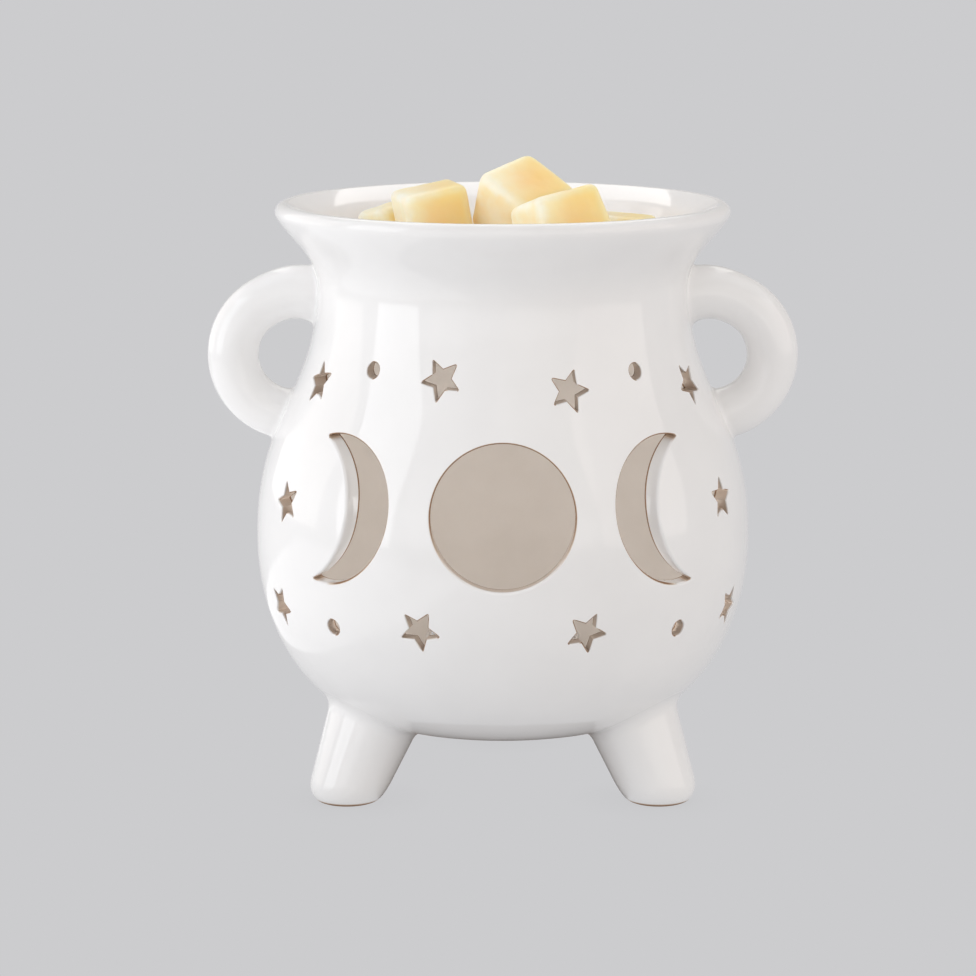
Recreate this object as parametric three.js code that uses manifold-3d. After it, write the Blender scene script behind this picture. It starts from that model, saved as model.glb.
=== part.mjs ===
// Cauldron oil burner: a glazed pot on splayed legs with loop handles, moon and star cut-outs,
// a lift-out oil dish in its flared mouth, wax melts in the dish and a tealight in the pot.
// Millimetres, +Z up, front towards -Y, origin on the ground under the pot's axis.

import * as THREE from "three";
import { RoundedBoxGeometry } from "three/addons/geometries/RoundedBoxGeometry.js";
import { mergeVertices } from "three/addons/utils/BufferGeometryUtils.js";
import Module from "manifold-3d";

// Pot: flat base, belly, neck and flared lip, with the reach of each curve's tangents
const BASE_Z = 17;
const BASE_RADIUS = 27.4;
const BASE_REACH = 18.2;
const BELLY_Z = 62.4;
const BELLY_RADIUS = 60.5;
const BELLY_REACH_DOWN = 26.5;
const BELLY_REACH_UP = 30.3;
const NECK_Z = 124.4;
const NECK_RADIUS = 45.2;
const NECK_REACH_DOWN = 26.8;
const NECK_REACH_UP = 6.8;
const RIM_Z = 144;
const LIP_RADIUS = 55.3;
const FLARE_ANGLE = 36;
const FLARE_REACH = 5;
const WALL = 4.4;

// Clearances: joints luted with slip, and pieces that only rest on one another
const LUTE_GAP = 0.3;
const REST_GAP = 0.3;

// Lift-out dish
const DISH_WALL = 2.5;
const DISH_DEPTH = 13;
const DISH_DROP = 0.9;

// Loop handles: the loop's centre stands outside the neck
const HANDLE_Z = 106.5;
const HANDLE_STAND = 6;
const HANDLE_LOOP = 14.75;
const HANDLE_THICKNESS = 12.5;

// Legs: straight shanks that widen upwards and lean in to the pot, with a rounded foot tucked under them
const LEG_SPREAD = 17.45;
const LEG_LEAN = 13.47;
const FOOT_RADIUS = 9.3;
const FOOT_ROUND = 3;
const FOOT_TUCK = 1.2;
const SHANK_RADIUS = 13.3;
const SHANK_TOP = 13;
const LEG_AZIMUTHS = { front_left_leg: 210, front_right_leg: 330, rear_leg: 90 };

// Full moon, crescents, stars and dots. Azimuths are degrees from the front, positive to the right.
const MOON_RADIUS = 16.75;
const MOON_Z = 76.4;
const CRESCENT_RADIUS = 17.2;
const CRESCENT_BITE = 19.5;
const CRESCENT_SHIFT = 13.4;
const CRESCENT_AZIMUTH = 43.3;
const CRESCENT_Z = 75.8;
const STAR_RADIUS = 5.4;
const STAR_WAIST = 2.25;
const STAR_POINTS = 5;
const DOT_RADIUS = 1.9;
const CUT_MARGIN = 6;
const STARS = [
  { azimuth: -62.7, z: 103, turn: -12 },
  { azimuth: -17.5, z: 106.9, turn: -28 },
  { azimuth: 18.6, z: 104.4, turn: 19 },
  { azimuth: 64.4, z: 102.6, turn: -28 },
  { azimuth: -60.1, z: 75.2, turn: -20 },
  { azimuth: 61.8, z: 75.9, turn: 6 },
  { azimuth: -64, z: 49.4, turn: 26 },
  { azimuth: -19.2, z: 49.6, turn: 31 },
  { azimuth: 19.3, z: 49.1, turn: 26 },
  { azimuth: 67, z: 48.8, turn: 25 },
];
const DOTS = [
  { azimuth: -39.8, z: 107.9 },
  { azimuth: 40.8, z: 107.6 },
  { azimuth: -42.7, z: 47.8 },
  { azimuth: 44.8, z: 47.2 },
];

// Tealight: a standard drawn cup with its wax, wick and the wick's tin foot
const CUP_RADIUS = 19;
const CUP_HEIGHT = 15;
const CUP_WALL = 0.6;
const CANDLE_DROP = 2;
const CANDLE_GAP = 0.15;
const SUSTAINER_RADIUS = 7;
const SUSTAINER_PLATE = 0.8;
const SUSTAINER_COLLAR = 3.2;
const COLLAR_RADIUS = 1.7;
const WICK_RADIUS = 0.9;
const WICK_STAND = 6.5;

// Wax melts: size, place over the dish floor and turn about X, Y and Z in degrees. The pile is fitted to
// the dish, so that the middle of its outermost melt is this far inside the dish wall.
const MELT_INSET = 6.74;
const MELT_ROUND = 2.5;
const MELTS = [
  { name: "wax_melt_left", size: [15, 13, 10], at: [-26.3, 18.4], turn: [0, -15, 36] },
  { name: "wax_melt_back", size: [16.3, 16.5, 15.9], at: [-17.0, 3.4], turn: [3.8, -10.7, 14.6] },
  { name: "wax_melt_top", size: [17.8, 17.4, 16.3], at: [5.1, 0.9], turn: [30.9, 9.6, -46.3] },
  { name: "wax_melt_front", size: [17, 16, 15], at: [13.8, -20], turn: [-9.3, -16.7, 27.4] },
  { name: "wax_melt_right", size: [15, 14, 10], at: [29, 2], turn: [0, 3, -18] },
];

// Facets
const ROUND_STEPS = 60;
const CURVE_STEPS = 7;
const LIP_STEPS = 6;
const FOOT_STEPS = 5;
const LOOP_STEPS = 40;
const TUBE_STEPS = 16;
const SMALL_STEPS = 32;
const MELT_STEPS = 2;

// Worked out from the sizes above
const lipRound = WALL / 2;
const potFloorZ = BASE_Z + WALL;
const dishRimZ = RIM_Z - DISH_DROP;
const dishFloorZ = dishRimZ - DISH_DEPTH;
const handleCentre = NECK_RADIUS + HANDLE_STAND;
const legCircle = BASE_RADIUS + LEG_SPREAD;
const legTop = BASE_Z + SHANK_TOP;

const degrees = THREE.MathUtils.degToRad;
const wasm = await Module();
wasm.setup();

const glaze = () => new THREE.MeshStandardMaterial({ color: 0xf1f0ee, roughness: 0.15, metalness: 0 });
const meltWax = () => new THREE.MeshStandardMaterial({ color: 0xf4d599, roughness: 0.45, metalness: 0 });
const candleWax = () => new THREE.MeshStandardMaterial({ color: 0xf6f3ea, roughness: 0.5, metalness: 0 });
const foil = () => new THREE.MeshStandardMaterial({ color: 0xc9cacc, roughness: 0.3, metalness: 1 });
const tin = () => new THREE.MeshStandardMaterial({ color: 0xa9abad, roughness: 0.4, metalness: 1 });
const cotton = () => new THREE.MeshStandardMaterial({ color: 0xefe9da, roughness: 0.9, metalness: 0 });

/** A closed three.js geometry as a manifold-3d solid. */
function solidOf(geometry) {
  const bare = geometry.index ? geometry.toNonIndexed() : geometry.clone();
  bare.deleteAttribute("normal");
  bare.deleteAttribute("uv");
  const merged = mergeVertices(bare, 1e-4);
  const mesh = new wasm.Mesh({
    numProp: 3,
    vertProperties: new Float32Array(merged.attributes.position.array),
    triVerts: new Uint32Array(merged.index.array),
  });
  return new wasm.Manifold(mesh);
}

/** A manifold-3d solid as a three.js geometry. */
function geometryOf(solid) {
  const mesh = solid.getMesh();
  const geometry = new THREE.BufferGeometry();
  geometry.setAttribute("position", new THREE.BufferAttribute(mesh.vertProperties, 3));
  geometry.setIndex(new THREE.BufferAttribute(mesh.triVerts, 1));
  geometry.computeVertexNormals();
  return geometry;
}

/** A named mesh of one piece. */
function piece(name, geometry, material) {
  const mesh = new THREE.Mesh(geometry, material);
  mesh.name = name;
  return mesh;
}

/** Turns a profile of [radius, height] points, given upwards along the outside, about the Z axis. */
function revolve(profile, steps) {
  const points = profile.map(([radius, height]) => new THREE.Vector2(radius, height));
  return new THREE.LatheGeometry(points, steps).rotateX(Math.PI / 2);
}

/** The pot's outside from the base's edge to the end of the flare, as three joined curves. */
function potOutline() {
  const lip = lipCentre();
  const flare = degrees(FLARE_ANGLE);
  const end = [lip[0] + lipRound * Math.cos(flare), lip[1] - lipRound * Math.sin(flare)];
  const outline = new THREE.Path();
  outline.moveTo(BASE_RADIUS, BASE_Z);
  outline.bezierCurveTo(
    BASE_RADIUS + BASE_REACH,
    BASE_Z,
    BELLY_RADIUS,
    BELLY_Z - BELLY_REACH_DOWN,
    BELLY_RADIUS,
    BELLY_Z,
  );
  outline.bezierCurveTo(
    BELLY_RADIUS,
    BELLY_Z + BELLY_REACH_UP,
    NECK_RADIUS,
    NECK_Z - NECK_REACH_DOWN,
    NECK_RADIUS,
    NECK_Z,
  );
  outline.bezierCurveTo(
    NECK_RADIUS,
    NECK_Z + NECK_REACH_UP,
    end[0] - FLARE_REACH * Math.sin(flare),
    end[1] - FLARE_REACH * Math.cos(flare),
    end[0],
    end[1],
  );
  return outline;
}

/** Centre of the lip's rounded edge. */
function lipCentre() {
  return [LIP_RADIUS - lipRound, RIM_Z - lipRound];
}

/** Points of the pot's outline moved inwards along its normals. */
function insetOutline(inset) {
  return potOutline().curves.flatMap((curve, index) => {
    const points = [];
    for (let step = index ? 1 : 0; step <= CURVE_STEPS; step++) {
      const at = step / CURVE_STEPS;
      const point = curve.getPoint(at);
      const along = curve.getTangent(at);
      points.push([point.x - inset * along.y, point.y + inset * along.x]);
    }
    return points;
  });
}

/** The part of an upward outline between two heights, with its ends cut level. */
function between(points, low, high) {
  const kept = [];
  points.forEach(([radius, height], index) => {
    if (index) {
      const [lastRadius, lastHeight] = points[index - 1];
      for (const level of [low, high]) {
        if (lastHeight < level && level < height) {
          const share = (level - lastHeight) / (height - lastHeight);
          kept.push([lastRadius + share * (radius - lastRadius), level]);
        }
      }
    }
    if (low < height && height < high) kept.push([radius, height]);
  });
  return kept;
}

/** Solid whose outside is the pot's outside, grown by a gap, for trimming what is luted to it. */
function potEnvelope(gap) {
  const outside = insetOutline(-gap);
  const top = outside.at(-1)[1];
  return solidOf(revolve([[0, BASE_Z - gap], ...outside, [0, top]], ROUND_STEPS));
}

/** The pot's wall before its cut-outs. */
function potShell() {
  const [centre, height] = lipCentre();
  const lip = [];
  for (let step = 1; step < LIP_STEPS; step++) {
    const angle = degrees((180 * step) / LIP_STEPS - FLARE_ANGLE);
    lip.push([centre + lipRound * Math.cos(angle), height + lipRound * Math.sin(angle)]);
  }
  const inside = insetOutline(WALL).reverse();
  const profile = [[0, BASE_Z], ...insetOutline(0), ...lip, ...inside, [0, potFloorZ]];
  return solidOf(revolve(profile, ROUND_STEPS));
}

/** Cutter of a flat outline that goes out through the wall at an azimuth and height. */
function wallCutter(outline, azimuth, z, turn = 0) {
  const start = NECK_RADIUS / 2;
  const depth = BELLY_RADIUS + CUT_MARGIN - start;
  const curveSegments = SMALL_STEPS / 2;
  const geometry = new THREE.ExtrudeGeometry(outline, { depth, curveSegments, bevelEnabled: false });
  const angle = degrees(azimuth);
  const right = new THREE.Vector3(Math.cos(angle), Math.sin(angle), 0);
  const up = new THREE.Vector3(0, 0, 1);
  const out = new THREE.Vector3(Math.sin(angle), -Math.cos(angle), 0);
  geometry.rotateZ(-degrees(turn)).translate(0, 0, start);
  geometry.applyMatrix4(new THREE.Matrix4().makeBasis(right, up, out)).translate(0, 0, z);
  return solidOf(geometry);
}

function discOutline(radius) {
  return new THREE.Shape().absarc(0, 0, radius, 0, 2 * Math.PI);
}

function starOutline() {
  const corners = [];
  for (let corner = 0; corner < 2 * STAR_POINTS; corner++) {
    const radius = corner % 2 ? STAR_WAIST : STAR_RADIUS;
    const angle = Math.PI / 2 + (Math.PI * corner) / STAR_POINTS;
    corners.push(new THREE.Vector2(radius * Math.cos(angle), radius * Math.sin(angle)));
  }
  return new THREE.Shape(corners);
}

/** Disc with a larger disc bitten out of its left side, so that its limb is on the right. */
function crescentOutline() {
  const excess = CRESCENT_BITE ** 2 - CRESCENT_RADIUS ** 2 - CRESCENT_SHIFT ** 2;
  const tipX = excess / (2 * CRESCENT_SHIFT);
  const tipY = Math.sqrt(CRESCENT_RADIUS ** 2 - tipX ** 2);
  const limb = Math.atan2(tipY, tipX);
  const bite = Math.atan2(tipY, tipX + CRESCENT_SHIFT);
  const outline = new THREE.Shape();
  outline.absarc(0, 0, CRESCENT_RADIUS, -limb, limb, false);
  outline.absarc(-CRESCENT_SHIFT, 0, CRESCENT_BITE, bite, -bite, true);
  return outline;
}

function cauldronBody() {
  const halfTurn = 180;
  const cutters = [
    wallCutter(discOutline(MOON_RADIUS), 0, MOON_Z),
    wallCutter(crescentOutline(), -CRESCENT_AZIMUTH, CRESCENT_Z),
    wallCutter(crescentOutline(), CRESCENT_AZIMUTH, CRESCENT_Z, halfTurn),
    ...STARS.map((star) => wallCutter(starOutline(), star.azimuth, star.z, star.turn)),
    ...DOTS.map((dot) => wallCutter(discOutline(DOT_RADIUS), dot.azimuth, dot.z)),
  ];
  const body = cutters.reduce((solid, cutter) => solid.subtract(cutter), potShell());
  return piece("cauldron_body", geometryOf(body), glaze());
}

/** The dish's inside, from its floor's edge up to its rim. */
function dishInside() {
  return between(insetOutline(WALL + REST_GAP + DISH_WALL), dishFloorZ, dishRimZ);
}

/** Shallow dish whose outside follows the mouth, so that it lifts straight out. */
function oilDish() {
  const underside = dishFloorZ - DISH_WALL;
  const outside = between(insetOutline(WALL + REST_GAP), underside, dishRimZ);
  const profile = [[0, underside], ...outside, ...dishInside().reverse(), [0, dishFloorZ]];
  return piece("oil_dish", revolve(profile, ROUND_STEPS), glaze());
}

/** Loop handles: one ring trimmed by the pot and turned round for the other side. */
function handles() {
  const ring = new THREE.TorusGeometry(HANDLE_LOOP, HANDLE_THICKNESS / 2, TUBE_STEPS, LOOP_STEPS);
  ring.rotateX(Math.PI / 2).translate(handleCentre, 0, HANDLE_Z);
  const loop = geometryOf(solidOf(ring).subtract(potEnvelope(LUTE_GAP)));
  const right = piece("right_handle", loop, glaze());
  const left = piece("left_handle", loop, glaze());
  left.rotation.z = Math.PI;
  return [left, right];
}

/** One leg along +X: a turned foot and shank, leaned in towards the pot and trimmed by it. */
function legGeometry() {
  const widening = (SHANK_RADIUS - FOOT_RADIUS) / legTop;
  const side = [];
  for (let step = 0; step <= FOOT_STEPS; step++) {
    const angle = degrees((90 * step) / FOOT_STEPS);
    const height = FOOT_ROUND * (1 - Math.cos(angle));
    side.push([FOOT_RADIUS + widening * height - FOOT_ROUND * (1 - Math.sin(angle)), height]);
  }
  const leg = revolve([[0, 0], ...side, [SHANK_RADIUS, legTop], [0, legTop]], SMALL_STEPS);
  const place = leg.attributes.position;
  for (let vertex = 0; vertex < place.count; vertex++) {
    const height = place.getZ(vertex);
    const tuck = FOOT_TUCK * Math.max(0, 1 - height / FOOT_ROUND) ** 2;
    place.setX(vertex, place.getX(vertex) + legCircle - LEG_LEAN * (height / legTop) - tuck);
  }
  return geometryOf(solidOf(leg).subtract(potEnvelope(LUTE_GAP)));
}

function legs() {
  const leg = legGeometry();
  return Object.entries(LEG_AZIMUTHS).map(([name, azimuth]) => {
    const mesh = piece(name, leg, glaze());
    mesh.rotation.z = degrees(azimuth);
    return mesh;
  });
}

/** Tealight standing on the pot's floor. */
function tealight() {
  const cupInside = CUP_RADIUS - CUP_WALL;
  const candleRadius = cupInside - CANDLE_GAP;
  const candleTop = CUP_HEIGHT - CANDLE_DROP;
  const plateBottom = CUP_WALL + CANDLE_GAP;
  const plateTop = plateBottom + SUSTAINER_PLATE;
  const collarTop = plateBottom + SUSTAINER_COLLAR;
  const wickHole = WICK_RADIUS + CANDLE_GAP;
  const collarHole = COLLAR_RADIUS + CANDLE_GAP;
  const plateHole = SUSTAINER_RADIUS + CANDLE_GAP;

  const cup = [
    [0, 0],
    [CUP_RADIUS, 0],
    [CUP_RADIUS, CUP_HEIGHT],
    [cupInside, CUP_HEIGHT],
    [cupInside, CUP_WALL],
    [0, CUP_WALL],
  ];
  const candle = [
    [plateHole, plateBottom],
    [candleRadius, plateBottom],
    [candleRadius, candleTop],
    [wickHole, candleTop],
    [wickHole, collarTop + CANDLE_GAP],
    [collarHole, collarTop + CANDLE_GAP],
    [collarHole, plateTop + CANDLE_GAP],
    [plateHole, plateTop + CANDLE_GAP],
    [plateHole, plateBottom],
  ];
  const sustainer = [
    [wickHole, plateBottom],
    [SUSTAINER_RADIUS, plateBottom],
    [SUSTAINER_RADIUS, plateTop],
    [COLLAR_RADIUS, plateTop],
    [COLLAR_RADIUS, collarTop],
    [wickHole, collarTop],
    [wickHole, plateBottom],
  ];
  const wick = [
    [0, plateBottom],
    [WICK_RADIUS, plateBottom],
    [WICK_RADIUS, candleTop + WICK_STAND],
    [0, candleTop + WICK_STAND],
  ];

  const group = new THREE.Group();
  group.position.z = potFloorZ + REST_GAP;
  group.add(
    piece("tealight_cup", revolve(cup, ROUND_STEPS), foil()),
    piece("tealight_wax", revolve(candle, SMALL_STEPS), candleWax()),
    piece("wick_sustainer", revolve(sustainer, SMALL_STEPS), tin()),
    piece("tealight_wick", revolve(wick, SMALL_STEPS / 2), cotton()),
  );
  return group;
}

/** Wax melts lying in the dish, each lowered until its lowest point rests on the dish floor. */
function waxMelts() {
  const group = new THREE.Group();
  group.position.z = dishFloorZ + REST_GAP;
  const [[floorRadius]] = dishInside();
  const outermost = Math.max(...MELTS.map(({ at }) => Math.hypot(...at)));
  const fit = (floorRadius - MELT_INSET) / outermost;
  for (const { name, size, at, turn } of MELTS) {
    const sides = size.map((side) => side * fit);
    const melt = piece(name, new RoundedBoxGeometry(...sides, MELT_STEPS, MELT_ROUND), meltWax());
    melt.rotation.set(...turn.map(degrees));
    const down = new THREE.Vector3(0, 0, 1).applyQuaternion(melt.quaternion.clone().invert());
    const reach = down.toArray().reduce(
      (sum, part, side) => sum + Math.abs(part) * (sides[side] / 2 - MELT_ROUND),
      MELT_ROUND,
    );
    melt.position.set(at[0] * fit, at[1] * fit, reach);
    group.add(melt);
  }
  return group;
}

const burner = new THREE.Group();
burner.add(cauldronBody(), oilDish(), ...handles(), ...legs(), tealight(), waxMelts());

export default burner;
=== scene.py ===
"""Looks of a glazed cauldron oil burner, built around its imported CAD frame.

Pieces are modelled in millimetres and turned into metres when they are finished. The front, with the
full-moon cut-out, faces -Y. Azimuths are degrees from the front, positive towards +X.
"""

import logging
import math
from collections.abc import Callable, Iterator, Sequence
from contextlib import contextmanager
from dataclasses import dataclass, field
from enum import Enum
from functools import cached_property

import bmesh
import bpy
import numpy as np
from mathutils import Matrix, Vector


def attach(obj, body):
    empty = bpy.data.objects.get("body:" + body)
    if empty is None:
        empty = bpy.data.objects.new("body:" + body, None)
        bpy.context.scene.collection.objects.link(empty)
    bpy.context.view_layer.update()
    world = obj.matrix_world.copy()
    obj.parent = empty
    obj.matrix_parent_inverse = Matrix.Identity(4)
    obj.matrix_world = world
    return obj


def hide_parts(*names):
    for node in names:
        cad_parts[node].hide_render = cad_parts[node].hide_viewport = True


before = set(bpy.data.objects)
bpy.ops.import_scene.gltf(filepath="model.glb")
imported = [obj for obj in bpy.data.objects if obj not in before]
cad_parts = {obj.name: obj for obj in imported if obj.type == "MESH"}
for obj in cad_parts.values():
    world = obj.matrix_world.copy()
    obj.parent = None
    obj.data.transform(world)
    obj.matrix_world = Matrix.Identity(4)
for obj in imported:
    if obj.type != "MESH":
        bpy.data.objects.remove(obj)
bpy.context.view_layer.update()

MM = 0.001
# Places this close together, in millimetres, count as one
NEAR = 1e-3
log = logging.getLogger("cauldron")

Colour = tuple[float, float, float]
Triple = tuple[float, float, float]
Point = tuple[float, float]
Piece = bpy.types.Object
Socket = bpy.types.NodeSocket
Material = bpy.types.Material
Tool = Callable[[np.ndarray], tuple[np.ndarray, np.ndarray]]

WHITE: Colour = (1.0, 1.0, 1.0)


class Slot(Enum):
    """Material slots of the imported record."""

    WHITE_GLAZE = "white_glaze"
    DISH_GLAZE = "dish_glaze"
    MELT_WAX = "melt_wax"
    CANDLE_WAX = "candle_wax"
    CUP_FOIL = "cup_foil"
    TIN = "tin"
    WICK_COTTON = "wick_cotton"


class Motif(Enum):
    """Shapes that are cut through the pot's wall."""

    MOON = "moon"
    CRESCENT = "crescent"
    STAR = "star"
    DOT = "dot"

    @property
    def is_large(self) -> bool:
        """Whether it is one of the moon's phases, which are far larger than the rest."""
        return self in (Motif.MOON, Motif.CRESCENT)


# Mesh helpers


def deselect() -> None:
    """Deselect every object, in object mode."""
    if bpy.context.object and bpy.context.object.mode != "OBJECT":
        bpy.ops.object.mode_set(mode="OBJECT")
    bpy.ops.object.select_all(action="DESELECT")


def use_only(obj: Piece) -> None:
    """Make one object the active and only selected one.

    Args:
        obj: The object to use.
    """
    deselect()
    obj.select_set(True)
    bpy.context.view_layer.objects.active = obj


@contextmanager
def editing(obj: Piece) -> Iterator[None]:
    """Edit mode on one object, with all of its mesh selected.

    Args:
        obj: The mesh object to edit.

    Yields:
        Nothing: the object is in edit mode until the block ends.
    """
    use_only(obj)
    bpy.ops.object.mode_set(mode="EDIT")
    bpy.ops.mesh.select_all(action="SELECT")
    yield
    bpy.ops.object.mode_set(mode="OBJECT")


def points_of(obj: Piece) -> np.ndarray:
    """Vertex places of a mesh object.

    Args:
        obj: The mesh object.

    Returns:
        The places, one row each.
    """
    places = np.empty(len(obj.data.vertices) * 3)
    obj.data.vertices.foreach_get("co", places)
    return places.reshape(-1, 3)


def place_points(obj: Piece, places: np.ndarray) -> None:
    """Move every vertex of a mesh object to its new place."""
    obj.data.vertices.foreach_set("co", np.ascontiguousarray(places, dtype=np.float32).ravel())
    obj.data.update()


def select_edges(obj: Piece, wanted: Callable[[bmesh.types.BMEdge], bool]) -> int:
    """Select edges of the object in edit mode by a test.

    Args:
        obj: The object in edit mode.
        wanted: Says whether an edge is to be selected.

    Returns:
        How many edges were selected.
    """
    bpy.ops.mesh.select_mode(type="EDGE")
    bpy.ops.mesh.select_all(action="DESELECT")
    mesh = bmesh.from_edit_mesh(obj.data)
    chosen = [edge for edge in mesh.edges if wanted(edge)]
    for edge in chosen:
        edge.select_set(True)
    bmesh.update_edit_mesh(obj.data)
    return len(chosen)


def delete_faces(obj: Piece, wanted: Callable[[bmesh.types.BMFace], bool]) -> None:
    """Delete faces of the object in edit mode by a test.

    Args:
        obj: The object in edit mode.
        wanted: Says whether a face is to be deleted.
    """
    bpy.ops.mesh.select_mode(type="FACE")
    bpy.ops.mesh.select_all(action="DESELECT")
    mesh = bmesh.from_edit_mesh(obj.data)
    for face in mesh.faces:
        face.select_set(wanted(face))
    bmesh.update_edit_mesh(obj.data)
    bpy.ops.mesh.delete(type="FACE")
    bpy.ops.mesh.select_mode(type="VERT")


def apply_modifier(obj: Piece, kind: str, **settings: object) -> None:
    """Add a modifier, set it up and apply it.

    Args:
        obj: The object to change.
        kind: Blender's name of the modifier's type.
        settings: Values of the modifier's own settings.
    """
    use_only(obj)
    modifier = obj.modifiers.new(kind.title(), kind)
    for name, value in settings.items():
        setattr(modifier, name, value)
    bpy.ops.object.modifier_apply(modifier=modifier.name)


def close_up(obj: Piece, threshold: float = NEAR) -> None:
    """Merge a mesh along its seams and poles, and turn its faces outwards.

    Args:
        obj: The mesh object.
        threshold: Vertices nearer than this become one.
    """
    with editing(obj):
        bpy.ops.mesh.remove_doubles(threshold=threshold)
        bpy.ops.mesh.normals_make_consistent(inside=False)


def lathe(name: str, profile: Sequence[Point], spokes: int) -> Piece:
    """Turn a profile about the Z axis.

    Args:
        name: Name of the new object.
        profile: Points of radius and height; ends on the axis become poles.
        spokes: How many steps one turn has.

    Returns:
        The turned mesh, with its normals outwards.
    """
    deselect()
    bpy.ops.mesh.primitive_plane_add(size=1.0)
    obj = bpy.context.object
    obj.name = name
    with editing(obj):
        bpy.ops.mesh.merge(type="CENTER")
        bpy.ops.transform.translate(value=(profile[0][0], 0.0, profile[0][1]))
        for last, point in zip(profile, profile[1:]):
            step = (point[0] - last[0], 0.0, point[1] - last[1])
            bpy.ops.mesh.extrude_region_move(TRANSFORM_OT_translate={"value": step})
        bpy.ops.mesh.select_all(action="SELECT")
        bpy.ops.mesh.spin(steps=spokes, angle=math.tau, center=(0, 0, 0), axis=(0, 0, 1))
    close_up(obj)
    return obj


def roll_up(name: str, rows: np.ndarray) -> Piece:
    """Roll a flat grid into a closed tube whose rings are given.

    Args:
        name: Name of the new object.
        rows: Rings by columns by three numbers; the end rings are poles.

    Returns:
        The closed tube, with its normals outwards.
    """
    levels, columns = rows.shape[0] - 1, rows.shape[1]
    deselect()
    bpy.ops.mesh.primitive_grid_add(x_subdivisions=columns, y_subdivisions=levels, size=2.0)
    obj = bpy.context.object
    obj.name = name
    flat = points_of(obj)
    column = np.rint((flat[:, 0] + 1) / 2 * columns).astype(int) % columns
    level = np.rint((flat[:, 1] + 1) / 2 * levels).astype(int)
    place_points(obj, rows[level, column])
    close_up(obj)
    return obj


def turned_copy(obj: Piece, degrees: float) -> Piece:
    """Copy an object with its own mesh, turned about the Z axis.

    Args:
        obj: The object to copy.
        degrees: How far the copy is turned.

    Returns:
        The copy.
    """
    copy = obj.copy()
    copy.data = obj.data.copy()
    bpy.context.scene.collection.objects.link(copy)
    copy.data.transform(Matrix.Rotation(math.radians(degrees), 4, "Z"))
    return copy


def arc(centre: Point, radius: float, start: float, end: float, steps: int) -> list[Point]:
    """Points on an arc, angles in degrees, both ends included."""
    angles = np.radians(np.linspace(start, end, steps + 1))
    return [(centre[0] + radius * math.cos(a), centre[1] + radius * math.sin(a)) for a in angles]


def softened(before: Point, corner: Point, after: Point, steps: int) -> list[Point]:
    """Round a corner by a quadratic curve between two points on its sides.

    Args:
        before: Where the curve starts.
        corner: The corner that it rounds.
        after: Where it ends.
        steps: How many steps it has.

    Returns:
        Points of the curve, both ends included.
    """
    points = []
    for share in np.linspace(0, 1, steps + 1):
        weights = ((1 - share) ** 2, 2 * share * (1 - share), share**2)
        sides = zip(weights, (before, corner, after))
        points.append(tuple(np.sum([w * np.array(p) for w, p in sides], axis=0)))
    return points


def eased(share: np.ndarray) -> np.ndarray:
    """A share held between 0 and 1 that starts and ends softly."""
    held = np.clip(share, 0, 1)
    return held * held * (3 - 2 * held)


def write_points(obj: Piece, name: str, values: np.ndarray) -> None:
    """Store one number for each vertex as a named attribute."""
    attribute = obj.data.attributes.new(name, "FLOAT", "POINT")
    attribute.data.foreach_set("value", np.ascontiguousarray(values, dtype=np.float32))


def finish_piece(
    obj: Piece,
    node: str,
    body: str,
    materials: Sequence[Material],
    smooth_angle: float | None = 40.0,
) -> Piece:
    """Turn a modelled piece into metres, dress it and hand it to the frame.

    Args:
        obj: The modelled piece, in millimetres.
        node: The CAD node that the piece stands for.
        body: The CAD body that the piece rides on.
        materials: Blender materials in the order of the mesh's material indexes.
        smooth_angle: Edges flatter than this many degrees are shaded smooth; None leaves shading alone.

    Returns:
        The finished piece.
    """
    obj.name = node + "_form"
    obj.data.name = obj.name
    obj.data.transform(Matrix.Scale(MM, 4))
    use_only(obj)
    if smooth_angle is not None:
        bpy.ops.object.shade_smooth_by_angle(angle=math.radians(smooth_angle))
    for material in materials:
        obj.data.materials.append(material)
    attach(obj, body)
    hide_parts(node)
    log.info("%s: %d faces on body %s", obj.name, len(obj.data.polygons), body)
    return obj


# Finishes


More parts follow.
